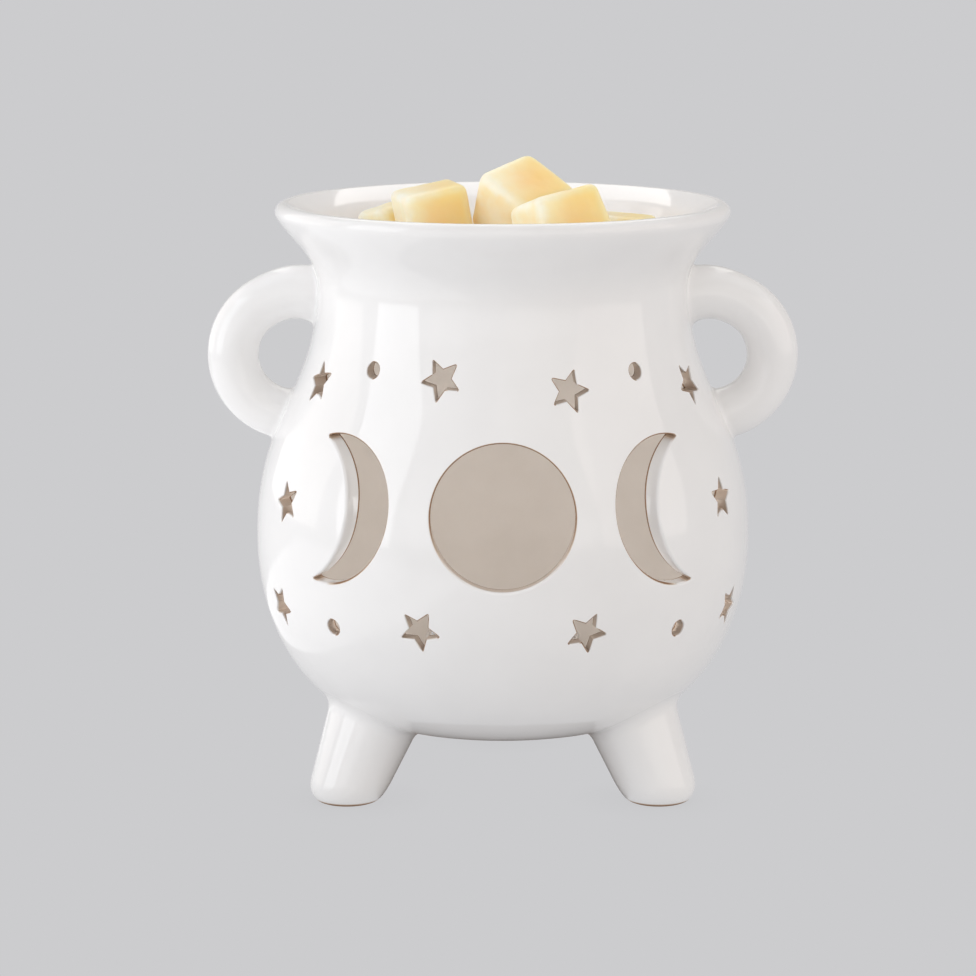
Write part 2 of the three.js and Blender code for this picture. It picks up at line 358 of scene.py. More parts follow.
class Surface:
    """A material whose Principled shader is fed by procedural nodes on Object coordinates."""

    def __init__(self, name: str) -> None:
        """Start a material with its shader and output alone.

        Args:
            name: Name of the material.
        """
        self.material = bpy.data.materials.new(name)
        self.material.use_nodes = True
        self.tree = self.material.node_tree
        self.tree.nodes.clear()
        self.shader = self.add("ShaderNodeBsdfPrincipled")
        output = self.add("ShaderNodeOutputMaterial")
        self.link(self.shader.outputs["BSDF"], output.inputs["Surface"])
        self.place = self.add("ShaderNodeTexCoord").outputs["Object"]

    def add(self, kind: str) -> bpy.types.Node:
        """A new node of that type."""
        return self.tree.nodes.new(kind)

    def link(self, source: Socket, target: Socket) -> None:
        """Join an output to an input."""
        self.tree.links.new(source, target)

    def fix(self, socket: str, value: object) -> None:
        """Set a shader socket to a constant."""
        self.shader.inputs[socket].default_value = value

    def feed(self, socket: str, source: Socket) -> None:
        """Drive a shader socket from a node."""
        self.link(source, self.shader.inputs[socket])

    def glow_through(self, weight: float, depth: Colour, reach: float) -> None:
        """Let light into the surface.

        Args:
            weight: The share of light that goes in.
            depth: How deep each colour goes, as a share of the reach.
            reach: Depth in millimetres.
        """
        self.fix("Subsurface Weight", weight)
        self.fix("Subsurface Radius", depth)
        self.fix("Subsurface Scale", reach * MM)

    def noise(self, size: float, detail: float = 2.0, stretch: Triple = (1, 1, 1)) -> Socket:
        """Noise with features of about one size.

        Args:
            size: Feature size in millimetres.
            detail: Octaves of finer noise.
            stretch: How much the pattern is squeezed along each axis.

        Returns:
            The noise's value from 0 to 1.
        """
        mapping = self.add("ShaderNodeMapping")
        mapping.inputs["Scale"].default_value = stretch
        self.link(self.place, mapping.inputs["Vector"])
        node = self.add("ShaderNodeTexNoise")
        node.inputs["Scale"].default_value = 1.0 / (size * MM)
        node.inputs["Detail"].default_value = detail
        self.link(mapping.outputs["Vector"], node.inputs["Vector"])
        return node.outputs["Fac"]

    def attribute(self, name: str) -> Socket:
        """A number stored on the mesh's vertices.

        Args:
            name: Name of the attribute.

        Returns:
            The number output.
        """
        node = self.add("ShaderNodeAttribute")
        node.attribute_name = name
        return node.outputs["Fac"]

    def shades(
        self, amount: Socket, low: Colour, high: Colour, start: float = 0.3, end: float = 0.7
    ) -> Socket:
        """A colour that goes from one shade to another with an amount.

        Args:
            amount: The driving value.
            low: Shade at and below start.
            high: Shade at and above end.
            start: Amount where the change starts.
            end: Amount where it ends.

        Returns:
            The colour output.
        """
        ramp = self.add("ShaderNodeValToRGB")
        first, last = ramp.color_ramp.elements
        first.position, first.color = start, (*low, 1.0)
        last.position, last.color = end, (*high, 1.0)
        self.link(amount, ramp.inputs["Fac"])
        return ramp.outputs["Color"]

    def span(
        self, amount: Socket, low: float, high: float, start: float = 0.0, end: float = 1.0
    ) -> Socket:
        """A number that goes from low to high with an amount.

        Args:
            amount: The driving value.
            low: Number at and below start.
            high: Number at and above end.
            start: Amount where the change starts.
            end: Amount where it ends.

        Returns:
            The number output.
        """
        node = self.add("ShaderNodeMapRange")
        node.inputs["From Min"].default_value = start
        node.inputs["From Max"].default_value = end
        node.inputs["To Min"].default_value = low
        node.inputs["To Max"].default_value = high
        self.link(amount, node.inputs["Value"])
        return node.outputs["Result"]

    def mix(self, amount: Socket, first: Socket, second: Socket) -> Socket:
        """One colour laid over another.

        Args:
            amount: How far the second covers the first.
            first: The lower colour.
            second: The upper colour.

        Returns:
            The colour output.
        """
        node = self.add("ShaderNodeMix")
        node.data_type = "RGBA"
        self.link(amount, node.inputs[0])
        self.link(first, node.inputs[6])
        self.link(second, node.inputs[7])
        return node.outputs[2]

    def relief(
        self, height: Socket, depth: float, strength: float = 1.0, under: Socket | None = None
    ) -> Socket:
        """Fine relief from a height.

        Args:
            height: Height value from 0 to 1.
            depth: Depth of the relief in millimetres.
            strength: How strongly it shows.
            under: A relief that this one lies on.

        Returns:
            The normal output.
        """
        bump = self.add("ShaderNodeBump")
        bump.inputs["Strength"].default_value = strength
        bump.inputs["Distance"].default_value = depth * MM
        self.link(height, bump.inputs["Height"])
        if under is not None:
            self.link(under, bump.inputs["Normal"])
        return bump.outputs["Normal"]


@dataclass(frozen=True)
class GlazeFinish:
    """Glossy white glaze, faintly uneven, that turns to thin-glaze and clay browns by a vertex
    attribute.

    The attribute is 0 where the glaze is whole, thin_level for the thin-glaze brown and 1 for clay
    brown.
    The legs' feet are bare clay; on the pot's cut-outs the browns are partly painted shade.
    """

    name: str = "white_glaze"
    light: Colour = (0.89, 0.885, 0.88)
    deep: Colour = (0.865, 0.86, 0.855)
    # Clay and thin-glaze browns: bare clay and thin glaze, and on the cut-outs partly painted shade
    clay: Colour = (0.30, 0.165, 0.085)
    clay_shade: float = 0.75
    thin: Colour = (0.63, 0.51, 0.41)
    thin_shade: float = 0.9
    thin_level: float = 0.5
    smoothest: float = 0.04
    dullest: float = 0.09
    bare_roughness: float = 0.8
    index: float = 1.52
    grain_size: float = 0.5
    sheen_size: float = 6.0
    wave_size: float = 16.0
    wave_depth: float = 0.35
    wave_strength: float = 0.25
    peel_size: float = 1.6
    peel_depth: float = 0.012
    peel_strength: float = 0.35

    def material(self) -> Material:
        """Build the glaze, which reads the attribute of bare clay and painted shade.

        Returns:
            The material.
        """
        surface = Surface(self.name)
        glaze = surface.shades(surface.noise(self.wave_size, 3.0), self.deep, self.light)
        grain = surface.noise(self.grain_size)
        clay = surface.shades(grain, tuple(self.clay_shade * c for c in self.clay), self.clay)
        thinned = surface.shades(grain, tuple(self.thin_shade * c for c in self.thin), self.thin)
        # The browns from this attribute are partly painted shade on the cut-outs' edges, tips and walls
        bare = surface.attribute("clay_and_painted_shade")
        thin_and_shade_share = surface.span(bare, 0.0, 1.0, 0.0, self.thin_level)
        clay_and_shade_share = surface.span(bare, 0.0, 1.0, self.thin_level, 1.0)
        thin_and_shaded = surface.mix(thin_and_shade_share, glaze, thinned)
        surface.feed("Base Color", surface.mix(clay_and_shade_share, thin_and_shaded, clay))
        sheen = surface.span(surface.noise(self.sheen_size), self.smoothest, self.dullest)
        dry = surface.add("ShaderNodeMix")
        surface.link(bare, dry.inputs[0])
        surface.link(sheen, dry.inputs[2])
        dry.inputs[3].default_value = self.bare_roughness
        surface.feed("Roughness", dry.outputs[0])
        surface.fix("IOR", self.index)
        waves = surface.relief(surface.noise(self.wave_size, 1.0), self.wave_depth, self.wave_strength)
        peel = surface.noise(self.peel_size, 1.0)
        surface.feed("Normal", surface.relief(peel, self.peel_depth, self.peel_strength, waves))
        return surface.material


@dataclass(frozen=True)
class ClayFinish:
    """Unglazed biscuit clay inside the pot, fine grained and matt."""

    name: str = "inner_clay"
    light: Colour = (0.70, 0.652, 0.607)
    deep: Colour = (0.66, 0.61, 0.562)
    roughness: float = 0.72
    cloud_size: float = 14.0
    grain_size: float = 0.6
    grain_depth: float = 0.05
    grain_strength: float = 0.4

    def material(self) -> Material:
        """Build the clay.

        Returns:
            The material.
        """
        surface = Surface(self.name)
        cloud = surface.noise(self.cloud_size, 4.0)
        surface.feed("Base Color", surface.shades(cloud, self.deep, self.light))
        surface.fix("Roughness", self.roughness)
        grain = surface.noise(self.grain_size, 3.0)
        surface.feed("Normal", surface.relief(grain, self.grain_depth, self.grain_strength))
        return surface.material


@dataclass(frozen=True)
class MeltFinish:
    """Pale yellow scented wax that light goes into, with painted light on its left and along its edges.
    """

    name: str = "melt_wax"
    pale: Colour = (1.0, 0.725, 0.36)
    rich: Colour = (0.995, 0.66, 0.26)
    # Colours of the painted light on the melts' left sides and the painted highlight on their edges
    frost: Colour = (1.0, 0.875, 0.71)
    painted_light_low: Colour = (1.0, 0.8, 0.56)
    depth: Colour = (1.0, 0.92, 0.75)
    reach: float = 9.0
    weight: float = 1.0
    index: float = 1.44
    smoothest: float = 0.32
    dullest: float = 0.5
    cloud_size: float = 11.0
    painted_light_size: float = 4.0
    sheen_size: float = 3.0
    dimple_size: float = 5.0
    dimple_depth: float = 0.25
    grain_size: float = 0.9
    grain_depth: float = 0.03
    relief_strength: float = 0.35

    def material(self) -> Material:
        """Build the wax, which reads the frosted attribute of painted light and painted highlight.

        Returns:
            The material.
        """
        surface = Surface(self.name)
        cloud = surface.noise(self.cloud_size, 3.0)
        faces = surface.shades(cloud, self.rich, self.pale, 0.35, 0.68)
        painted_light_mottle = surface.noise(self.painted_light_size, 3.0)
        frost = surface.shades(painted_light_mottle, self.painted_light_low, self.frost, 0.35, 0.6)
        # Painted light: paler on the melts' left sides, towards the lamps, and painted highlight along
        # their edges
        surface.feed("Base Color", surface.mix(surface.attribute("frosted"), faces, frost))
        surface.glow_through(self.weight, self.depth, self.reach)
        surface.fix("IOR", self.index)
        sheen = surface.noise(self.sheen_size, 3.0)
        surface.feed("Roughness", surface.span(sheen, self.smoothest, self.dullest))
        hollows = surface.noise(self.dimple_size)
        dimples = surface.relief(hollows, self.dimple_depth, self.relief_strength)
        grain = surface.noise(self.grain_size, 3.0)
        surface.feed("Normal", surface.relief(grain, self.grain_depth, self.relief_strength, dimples))
        return surface.material


@dataclass(frozen=True)
class CandleFinish:
    """White paraffin wax of the tealight, with fine crystals."""

    name: str = "candle_wax"
    clear: Colour = (0.86, 0.84, 0.78)
    frosted: Colour = (0.93, 0.92, 0.89)
    depth: Colour = (1.0, 0.9, 0.75)
    reach: float = 3.0
    weight: float = 0.6
    smoothest: float = 0.35
    dullest: float = 0.55
    crystal_size: float = 4.0
    sheen_size: float = 2.0
    dimple_size: float = 2.5
    dimple_depth: float = 0.08
    dimple_strength: float = 0.4

    def material(self) -> Material:
        """Build the candle's wax.

        Returns:
            The material.
        """
        surface = Surface(self.name)
        frost = surface.noise(self.crystal_size, 4.0)
        surface.feed("Base Color", surface.shades(frost, self.clear, self.frosted))
        surface.glow_through(self.weight, self.depth, self.reach)
        sheen = surface.noise(self.sheen_size, 3.0)
        surface.feed("Roughness", surface.span(sheen, self.smoothest, self.dullest))
        dimples = surface.noise(self.dimple_size)
        surface.feed("Normal", surface.relief(dimples, self.dimple_depth, self.dimple_strength))
        return surface.material


@dataclass(frozen=True)
class SheetMetalFinish:
    """Thin drawn or pressed sheet metal with faint drawing marks."""

    name: str
    bright: Colour
    dull: Colour
    smoothest: float
    dullest: float
    stretch: Triple = (1, 1, 12)
    mark_size: float = 6.0
    mark_depth: float = 0.02
    mark_strength: float = 0.25
    dent_size: float = 7.0
    dent_depth: float = 0.12
    dent_strength: float = 0.3

    def material(self) -> Material:
        """Build the sheet metal.

        Returns:
            The material.
        """
        surface = Surface(self.name)
        marks = surface.noise(self.mark_size, 4.0, self.stretch)
        surface.feed("Base Color", surface.shades(marks, self.dull, self.bright))
        surface.fix("Metallic", 1.0)
        surface.feed("Roughness", surface.span(marks, self.smoothest, self.dullest))
        dents = surface.relief(surface.noise(self.dent_size), self.dent_depth, self.dent_strength)
        surface.feed("Normal", surface.relief(marks, self.mark_depth, self.mark_strength, dents))
        return surface.material


@dataclass(frozen=True)
class CottonFinish:
    """Waxed cotton of the wick, ribbed by its braid."""

    name: str = "wick_cotton"
    pale: Colour = (0.86, 0.82, 0.72)
    shaded: Colour = (0.62, 0.57, 0.47)
    roughness: float = 0.75
    sheen: float = 0.25
    fibre_size: float = 0.25
    fibre_depth: float = 0.04
    fibre_strength: float = 0.6

    def material(self) -> Material:
        """Build the cotton, which reads the braid attribute.

        Returns:
            The material.
        """
        surface = Surface(self.name)
        braid = surface.attribute("braid")
        surface.feed("Base Color", surface.shades(braid, self.shaded, self.pale, 0.1, 0.8))
        surface.fix("Roughness", self.roughness)
        surface.fix("Sheen Weight", self.sheen)
        fibres = surface.noise(self.fibre_size, 3.0)
        surface.feed("Normal", surface.relief(fibres, self.fibre_depth, self.fibre_strength))
        return surface.material


# Pot


@dataclass(frozen=True)
class PotProfile:
    """The pot's outside from its base to the flare, as three joined curves, and its wall."""

    base_z: float = 17.0
    base_radius: float = 27.4
    base_reach: float = 18.2
    belly_z: float = 62.4
    belly_radius: float = 60.5
    belly_reach_down: float = 26.5
    belly_reach_up: float = 30.3
    neck_z: float = 124.4
    neck_radius: float = 45.2
    neck_reach_down: float = 26.8
    neck_reach_up: float = 6.8
    rim_z: float = 144.0
    lip_radius: float = 55.3
    flare_angle: float = 29.0
    flare_reach: float = 6.0
    wall: float = 4.4
    rebate: float = 0.65
    rebate_reach: float = 9.0
    rebate_angle: float = 112.0
    curve_steps: int = 160
    rebate_steps: int = 8
    base_steps: int = 39
    search_stride: int = 3
    halvings: int = 26

    @property
    def lip_round(self) -> float:
        """Radius of the lip's rounded edge."""
        return self.wall / 2

    @property
    def lip_centre(self) -> Point:
        """Centre of the lip's rounded edge."""
        return self.lip_radius - self.lip_round, self.rim_z - self.lip_round

    @property
    def floor_z(self) -> float:
        """Height of the floor inside the pot."""
        return self.base_z + self.wall

    def controls(self) -> list[np.ndarray]:
        """Control points of the three curves.

        Returns:
            Four points for each curve, from the base upwards.
        """
        flare = math.radians(self.flare_angle)
        end = np.array(self.lip_centre) + self.lip_round * np.array([math.cos(flare), -math.sin(flare)])
        base = (self.base_radius, self.base_z)
        belly = (self.belly_radius, self.belly_z)
        neck = (self.neck_radius, self.neck_z)
        return [
            np.array([
                base,
                (self.base_radius + self.base_reach, self.base_z),
                (self.belly_radius, self.belly_z - self.belly_reach_down),
                belly,
            ]),
            np.array([
                belly,
                (self.belly_radius, self.belly_z + self.belly_reach_up),
                (self.neck_radius, self.neck_z - self.neck_reach_down),
                neck,
            ]),
            np.array([
                neck,
                (self.neck_radius, self.neck_z + self.neck_reach_up),
                end - self.flare_reach * np.array([math.sin(flare), math.cos(flare)]),
                end,
            ]),
        ]

    @cached_property
    def table(self) -> np.ndarray:
        """Rows of length along the outside, radius, height and the outward normal's two parts."""
        places, slopes = [], []
        for index, (a, b, c, d) in enumerate(self.controls()):
            t = np.linspace(0, 1, self.curve_steps + 1)[1 if index else 0:, None]
            u = 1 - t
            places.append(u**3 * a + 3 * u * u * t * b + 3 * u * t * t * c + t**3 * d)
            slopes.append(u * u * (b - a) + 2 * u * t * (c - b) + t * t * (d - c))
        place = np.concatenate(places)
        slope = np.concatenate(slopes)
        slope /= np.linalg.norm(slope, axis=1, keepdims=True)
        steps = np.linalg.norm(np.diff(place, axis=0), axis=1)
        length = np.concatenate([[0], np.cumsum(steps)])
        return np.column_stack([length, place, slope[:, 1], -slope[:, 0]])

    def at(
        self, length: np.ndarray | float, inset: np.ndarray | float = 0.0
    ) -> tuple[np.ndarray, np.ndarray]:
        """Radius and height of a place on the wall.

        Args:
            length: Length along the outside from the base's edge.
            inset: Depth under the outside.

        Returns:
            Radius and height.
        """
        known = self.table[:, 0]
        radius, height, out, up = (np.interp(length, known, self.table[:, k]) for k in (1, 2, 3, 4))
        return radius - inset * out, height - inset * up

    def normal_at(self, length: np.ndarray) -> tuple[np.ndarray, np.ndarray]:
        """Direction in which the outside faces.

        Args:
            length: Length along the outside from the base's edge.

        Returns:
            Outward and upward parts of the normal.
        """
        known = self.table[:, 0]
        out = np.interp(length, known, self.table[:, 3])
        up = np.interp(length, known, self.table[:, 4])
        size = np.hypot(out, up)
        return out / size, up / size

    def length_at(self, height: np.ndarray | float) -> np.ndarray:
        """Length along the outside at a height."""
        return np.interp(height, self.table[:, 2], self.table[:, 0])

    def radius_at(self, height: np.ndarray | float) -> np.ndarray:
        """Outside radius at a height."""
        return np.interp(height, self.table[:, 2], self.table[:, 1])

    def side(self, low: float, high: float, steps: int, inset: float = 0.0) -> list[Point]:
        """Points along the wall between two lengths, both ends included."""
        radius, height = self.at(np.linspace(low, high, steps + 1), inset)
        return list(zip(radius.tolist(), height.tolist()))

    def seat(self, low: float, steps: int, gap: float = 0.0, slit: float = 0.0) -> list[Point]:
        """Points up the mouth's inside, which is rebated for the dish.

        Args:
            low: Length along the outside to start at.
            steps: How many steps lead to the lip.
            gap: Clearance that is added inwards.
            slit: Degrees by which the last point stays clear of the rebate's edge.

        Returns:
            Points from the start up to where the lip's rounding begins, and on round it to the rebate's
            edge.
        """
        top = float(self.table[-1, 0])
        length = np.linspace(low, top, steps + 1)
        recess = self.rebate * eased((length - top + self.rebate_reach) / self.rebate_reach)
        radius, height = self.at(length, self.wall - recess + gap)
        rest = self.lip_round - self.rebate + gap
        end = self.rebate_angle + slit
        bend = arc(self.lip_centre, rest, 180 - self.flare_angle, end, self.rebate_steps)
        return [*zip(radius.tolist(), height.tolist()), *bend[1:]]

    def inside(self, inset: float, low: float, high: float, steps: int) -> list[Point]:
        """Points of the inset outline between two heights, ends cut level.

        Args:
            inset: Depth under the outside.
            low: Height of the first point.
            high: Height of the last one.
            steps: How many steps lead there.

        Returns:
            Points of radius and height.
        """
        radius, height = self.at(self.table[:, 0], inset)
        levels = np.linspace(low, high, steps + 1)
        return list(zip(np.interp(levels, height, radius).tolist(), levels.tolist()))

    def distance(self, places: np.ndarray) -> tuple[np.ndarray, np.ndarray]:
        """How far points are outside the pot's outside surface.

        Args:
            places: Points, one row each.

        Returns:
            Signed distances, and the outward direction at each point's nearest place.
        """
        across = np.linspace(0, self.base_radius, self.base_steps, endpoint=False)
        level = np.full_like(across, self.base_z)
        base = np.column_stack([across, level, np.zeros_like(across), np.full_like(across, -1.0)])
        known = np.concatenate([base, self.table[:: self.search_stride, 1:]])
        radius = np.hypot(places[:, 0], places[:, 1])
        flat = np.column_stack([radius, places[:, 2]])
        gaps = ((flat[:, None, :] - known[None, :, :2]) ** 2).sum(axis=2)
        near = known[gaps.argmin(axis=1)]
        away = ((flat - near[:, :2]) * near[:, 2:]).sum(axis=1)
        turn = places[:, :2] / np.maximum(radius, 1e-9)[:, None]
        direction = np.column_stack([turn * near[:, 2:3], near[:, 3]])
        return away, direction

    def meeting(
        self, free: np.ndarray, stuck: np.ndarray, line: Callable[[np.ndarray], np.ndarray]
    ) -> np.ndarray:
        """Where lines that come from outside run into the pot.

        Args:
            free: A place along each line that is outside the pot.
            stuck: A place along each line that is inside it.
            line: Gives the lines' points at places along them.

        Returns:
            The place along each line where it reaches the pot.
        """
        for _ in range(self.halvings):
            middle = (free + stuck) / 2
            away, _ = self.distance(line(middle))
            free = np.where(away > 0, middle, free)
            stuck = np.where(away > 0, stuck, middle)
        return free


@dataclass(frozen=True)
class Cut:
    """One cut-out of the pot's wall: what it is, where it is and how it is turned."""

    motif: Motif
    azimuth: float
    z: float
    turn: float = 0.0


@dataclass(frozen=True)
class MotifSizes:
    """Sizes of the cut-outs' outlines."""

    moon_radius: float = 16.75
    crescent_radius: float = 17.2
    crescent_bite: float = 18.3
    crescent_shift: float = 12.2
    star_radius: float = 5.1
    star_waist: float = 2.4
    star_points: int = 5
    dot_radius: float = 1.9
    tip_cut: float = 0.25
    star_tip_cut: float = 0.6
    tip_shares: tuple[float, ...] = (0.4, 0.7)
    waist_shares: tuple[float, ...] = (0.3, 0.6)
    star_tip_steps: int = 3
    tip_steps: int = 4
    moon_steps: int = 120
    dot_steps: int = 24
    limb_steps: int = 72
    bite_steps: int = 48

    def outline(self, motif: Motif) -> list[Point]:
        """Outline of a cut-out, anticlockwise as seen from outside.

        Args:
            motif: The cut-out's shape.

        Returns:
            Points to the right and upwards from its middle.
        """
        if motif is Motif.MOON:
            return arc((0, 0), self.moon_radius, 0, 360, self.moon_steps)[:-1]
        if motif is Motif.DOT:
            return arc((0, 0), self.dot_radius, 0, 360, self.dot_steps)[:-1]
        if motif is Motif.STAR:
            return self._star()
        return self._crescent()

    def _star(self) -> list[Point]:
        """A star whose tips are rounded a little.

        Returns:
            Its outline.
        """
        corners = []
        for corner in range(2 * self.star_points):
            radius = self.star_waist if corner % 2 else self.star_radius
            angle = math.pi / 2 + math.pi * corner / self.star_points
            corners.append(np.array([radius * math.cos(angle), radius * math.sin(angle)]))
        points: list[Point] = []
        for index, corner in enumerate(corners):
            after = corners[(index + 1) % len(corners)]
            if index % 2:
                points.append(tuple(corner))
                points.extend(tuple(corner + share * (after - corner)) for share in self.waist_shares)
                continue
            before = corners[index - 1]
            start = corner + self.star_tip_cut * (before - corner) / np.linalg.norm(before - corner)
            end = corner + self.star_tip_cut * (after - corner) / np.linalg.norm(after - corner)
            points.extend(softened(tuple(start), tuple(corner), tuple(end), self.star_tip_steps))
            points.extend(tuple(corner + share * (after - corner)) for share in self.tip_shares)
        return points

    @property
    def crescent_tips(self) -> list[Point]:
        """The crescent's upper and lower tip."""
        excess = self.crescent_bite**2 - self.crescent_radius**2 - self.crescent_shift**2
        across = excess / (2 * self.crescent_shift)
        rise = math.sqrt(self.crescent_radius**2 - across**2)
        return [(across, rise), (across, -rise)]

    def _crescent(self) -> list[Point]:
        """A disc with a larger disc bitten out of its left side, so that its limb is on the right.

        Returns:
            Its outline.
        """
        (tip_x, tip_y), _ = self.crescent_tips
        limb = math.degrees(math.atan2(tip_y, tip_x)) - math.degrees(self.tip_cut / self.crescent_radius)
        bite = math.degrees(math.atan2(tip_y, tip_x + self.crescent_shift))
        bite -= math.degrees(self.tip_cut / self.crescent_bite)
        outer = arc((0, 0), self.crescent_radius, -limb, limb, self.limb_steps)
        inner = arc((-self.crescent_shift, 0), self.crescent_bite, bite, -bite, self.bite_steps)
        top = softened(outer[-1], (tip_x, tip_y), inner[0], self.tip_steps)[1:-1]
        bottom = softened(inner[-1], (tip_x, -tip_y), outer[0], self.tip_steps)[1:-1]
        return outer + top + inner + bottom


@dataclass
class CauldronBody:
    """The slip-cast pot: a cut wall rolled up from a flat slab, a turned bowl and a turned mouth."""

    profile: PotProfile
    sizes: MotifSizes = field(default_factory=MotifSizes)
    cuts: tuple[Cut, ...] = (
        Cut(Motif.MOON, 0, 76.4),
        Cut(Motif.CRESCENT, -44.0, 75.8, -2),
        Cut(Motif.CRESCENT, 43.6, 75.8, 182.5),
        Cut(Motif.STAR, -62.7, 103, -12),
        Cut(Motif.STAR, -17.5, 106.9, -28),
        Cut(Motif.STAR, 18.6, 104.4, 19),
        Cut(Motif.STAR, 64.4, 102.6, -28),
        Cut(Motif.STAR, -60.1, 75.2, -20),
        Cut(Motif.STAR, 61.8, 75.9, 6),
        Cut(Motif.STAR, -64, 49.4, 26),
        Cut(Motif.STAR, -19.2, 49.6, 31),
        Cut(Motif.STAR, 19.3, 49.1, 26),
        Cut(Motif.STAR, 67, 48.8, 25),
        Cut(Motif.DOT, -39.8, 107.9),
        Cut(Motif.DOT, 40.8, 107.6),
        Cut(Motif.DOT, -42.7, 47.8),
        Cut(Motif.DOT, 44.8, 47.2),
    )
    cut_low: float = 40.0
    cut_high: float = 115.0
    spokes: int = 144
    rows: int = 32
    side_steps: int = 26
    lip_steps: int = 18
    cutter_margin: float = 1.0
    rule_edge: float = 0.15
    edge_slack: float = 0.02
    level_slope: float = 0.7
    zone_margin: float = 1.0
    weld: float = 0.01
    smooth_angle: float = 50.0
    large_arris: float = 0.7
    small_arris: float = 0.4
    inner_arris: float = 0.5
    arris_steps: int = 5
    line_width: float = 0.3
    # How far the front view looks down: the painted shade on the cut-outs' front arris follows it
    front_view_tilt: float = 0.176
    # Thin-glaze brown on the walls of the moon, stars and dots: partly thin glaze, partly painted shade
    thin_glaze_and_shade: float = 0.42
    inner_bare: float = 0.2
    # The crescents' tips are painted brown, partly as bare clay and partly as painted shade in their
    # grooves
    tip_start: float = 0.3
    tip_clay_and_shade: float = 0.7
    tip_full_reach: float = 0.6
    tip_fade: float = 2.2
    lean: float = 0.5
    lean_limit: float = 0.9
    # Where painted shade starts on the front arris's rounding, and how fast it grows
    painted_shade_start: float = 0.03
    painted_shade_reach: float = 0.12
    level_rounds: int = 6
    least_out: float = 0.3
    on_outline: float = 0.999
    lining_share: float = 0.4
    straight_reach: float = 1.4
    bend_reach: float = 5.5
    clay_top: float = 126.0

    @property
    def half_width(self) -> float:
        """Half of the flat slab's width: half of the belly's girth."""
        return math.pi * self.profile.belly_radius

    @cached_property
    def flat_outlines(self) -> dict[Cut, np.ndarray]:
        """Outline of every cut-out on the unrolled wall, one row for each point."""
        return {cut: self._flatten(cut, self.sizes.outline(cut.motif)) for cut in self.cuts}

    def build(self) -> Piece:
        """Model the pot.

        Returns:
            The pot in millimetres, with its material indexes set.
        """
        wall = self._slab()
        self._cut(wall)
        self._soften(wall)
        self._rule(wall)
        # Clay browns for the cut-outs, partly painted shade on their hidden edges, tips and walls
        bare = self._clay_and_shade(wall)
        self._roll(wall)
        write_points(wall, "clay_and_painted_shade", bare)
        pot = self._join([wall, self._bowl(), self._mouth()])
        self._line(pot)
        self._shade(pot)
        return pot

    def dress(self, pot: Piece, glaze: Material, clay: Material) -> None:
        """Hand the pot to the frame in its glaze and its inner clay."""
        finish_piece(pot, "cauldron_body", "cauldron", [glaze, clay], None)

    def _ends(self) -> tuple[float, float]:
        """Lengths along the outside where the cut wall starts and ends."""
        return float(self.profile.length_at(self.cut_low)), float(self.profile.length_at(self.cut_high))

    def _slab(self) -> Piece:
        """The wall unrolled: width is girth, depth is length along the outside, top is the outside.

        Returns:
            The uncut slab.
        """
        low, high = self._ends()
        deselect()
        bpy.ops.mesh.primitive_cube_add(size=1.0)
        slab = bpy.context.object
        slab.scale = (2 * self.half_width, high - low, self.profile.wall)
        slab.location = (0, (low + high) / 2, -self.profile.wall / 2)
        bpy.ops.object.transform_apply(location=True, rotation=True, scale=True)
        return slab

    def _flatten(self, cut: Cut, shape: Sequence[Point]) -> np.ndarray:
        """Lay a cut-out's own shape on the unrolled wall.

        Args:
            cut: Where the cut-out is and how it is turned.
            shape: Points of the shape.

        Returns:
            The laid points, one row each.
        """
        turn = math.radians(cut.turn)
        flat = np.array(shape)
        right = flat[:, 0] * math.cos(turn) + flat[:, 1] * math.sin(turn)
        height = cut.z - flat[:, 0] * math.sin(turn) + flat[:, 1] * math.cos(turn)
        radius = self.profile.radius_at(height)
        azimuth = math.radians(cut.azimuth) + np.arcsin(right / radius)
        across = azimuth * self.profile.belly_radius
        return np.column_stack([across, self.profile.length_at(height)])

    def _cut(self, slab: Piece) -> None:
        """Cut every motif through the slab.

        Args:
            slab: The unrolled wall.
        """
        depth = self.profile.wall + 2 * self.cutter_margin
        cutters = []
        for cut in self.cuts:
            outline = self.flat_outlines[cut]
            deselect()
            bpy.ops.mesh.primitive_circle_add(vertices=len(outline), fill_type="NGON")
            cutter = bpy.context.object
            order = np.arctan2(points_of(cutter)[:, 1], points_of(cutter)[:, 0]) % math.tau
            places = np.empty((len(outline), 3))
            places[np.argsort(order), :2] = outline
            places[:, 2] = self.cutter_margin
            place_points(cutter, places)
            with editing(cutter):
                bpy.ops.mesh.extrude_region_move(TRANSFORM_OT_translate={"value": (0, 0, -depth)})
                bpy.ops.mesh.select_all(action="SELECT")
                bpy.ops.mesh.normals_make_consistent(inside=False)
            cutters.append(cutter)
        use_only(cutters[0])
        for cutter in cutters:
            cutter.select_set(True)
        bpy.ops.object.join()
        apply_modifier(slab, "BOOLEAN", operation="DIFFERENCE", solver="EXACT", object=cutters[0])
        bpy.data.objects.remove(cutters[0])

    def _is_large(self, across: float, along: float) -> bool:
        """Whether a place on the slab belongs to the moon or a crescent."""
        return min(self.cuts, key=lambda cut: self._gap(cut, across, along)).motif.is_large

    def _gap(self, cut: Cut, across: float, along: float) -> float:
        """How far a place on the slab is from a cut-out's outline."""
        return float(np.hypot(*(self.flat_outlines[cut] - (across, along)).T).min())

    def _on_border(self, place: Vector) -> bool:
        """Whether a place is on the slab's four outer sides.

        Args:
            place: The place to test.

        Returns:
            True where it is.
        """
        low, high = self._ends()
        beside = abs(abs(place.x) - self.half_width) < NEAR
        return beside or abs(place.y - low) < NEAR or abs(place.y - high) < NEAR

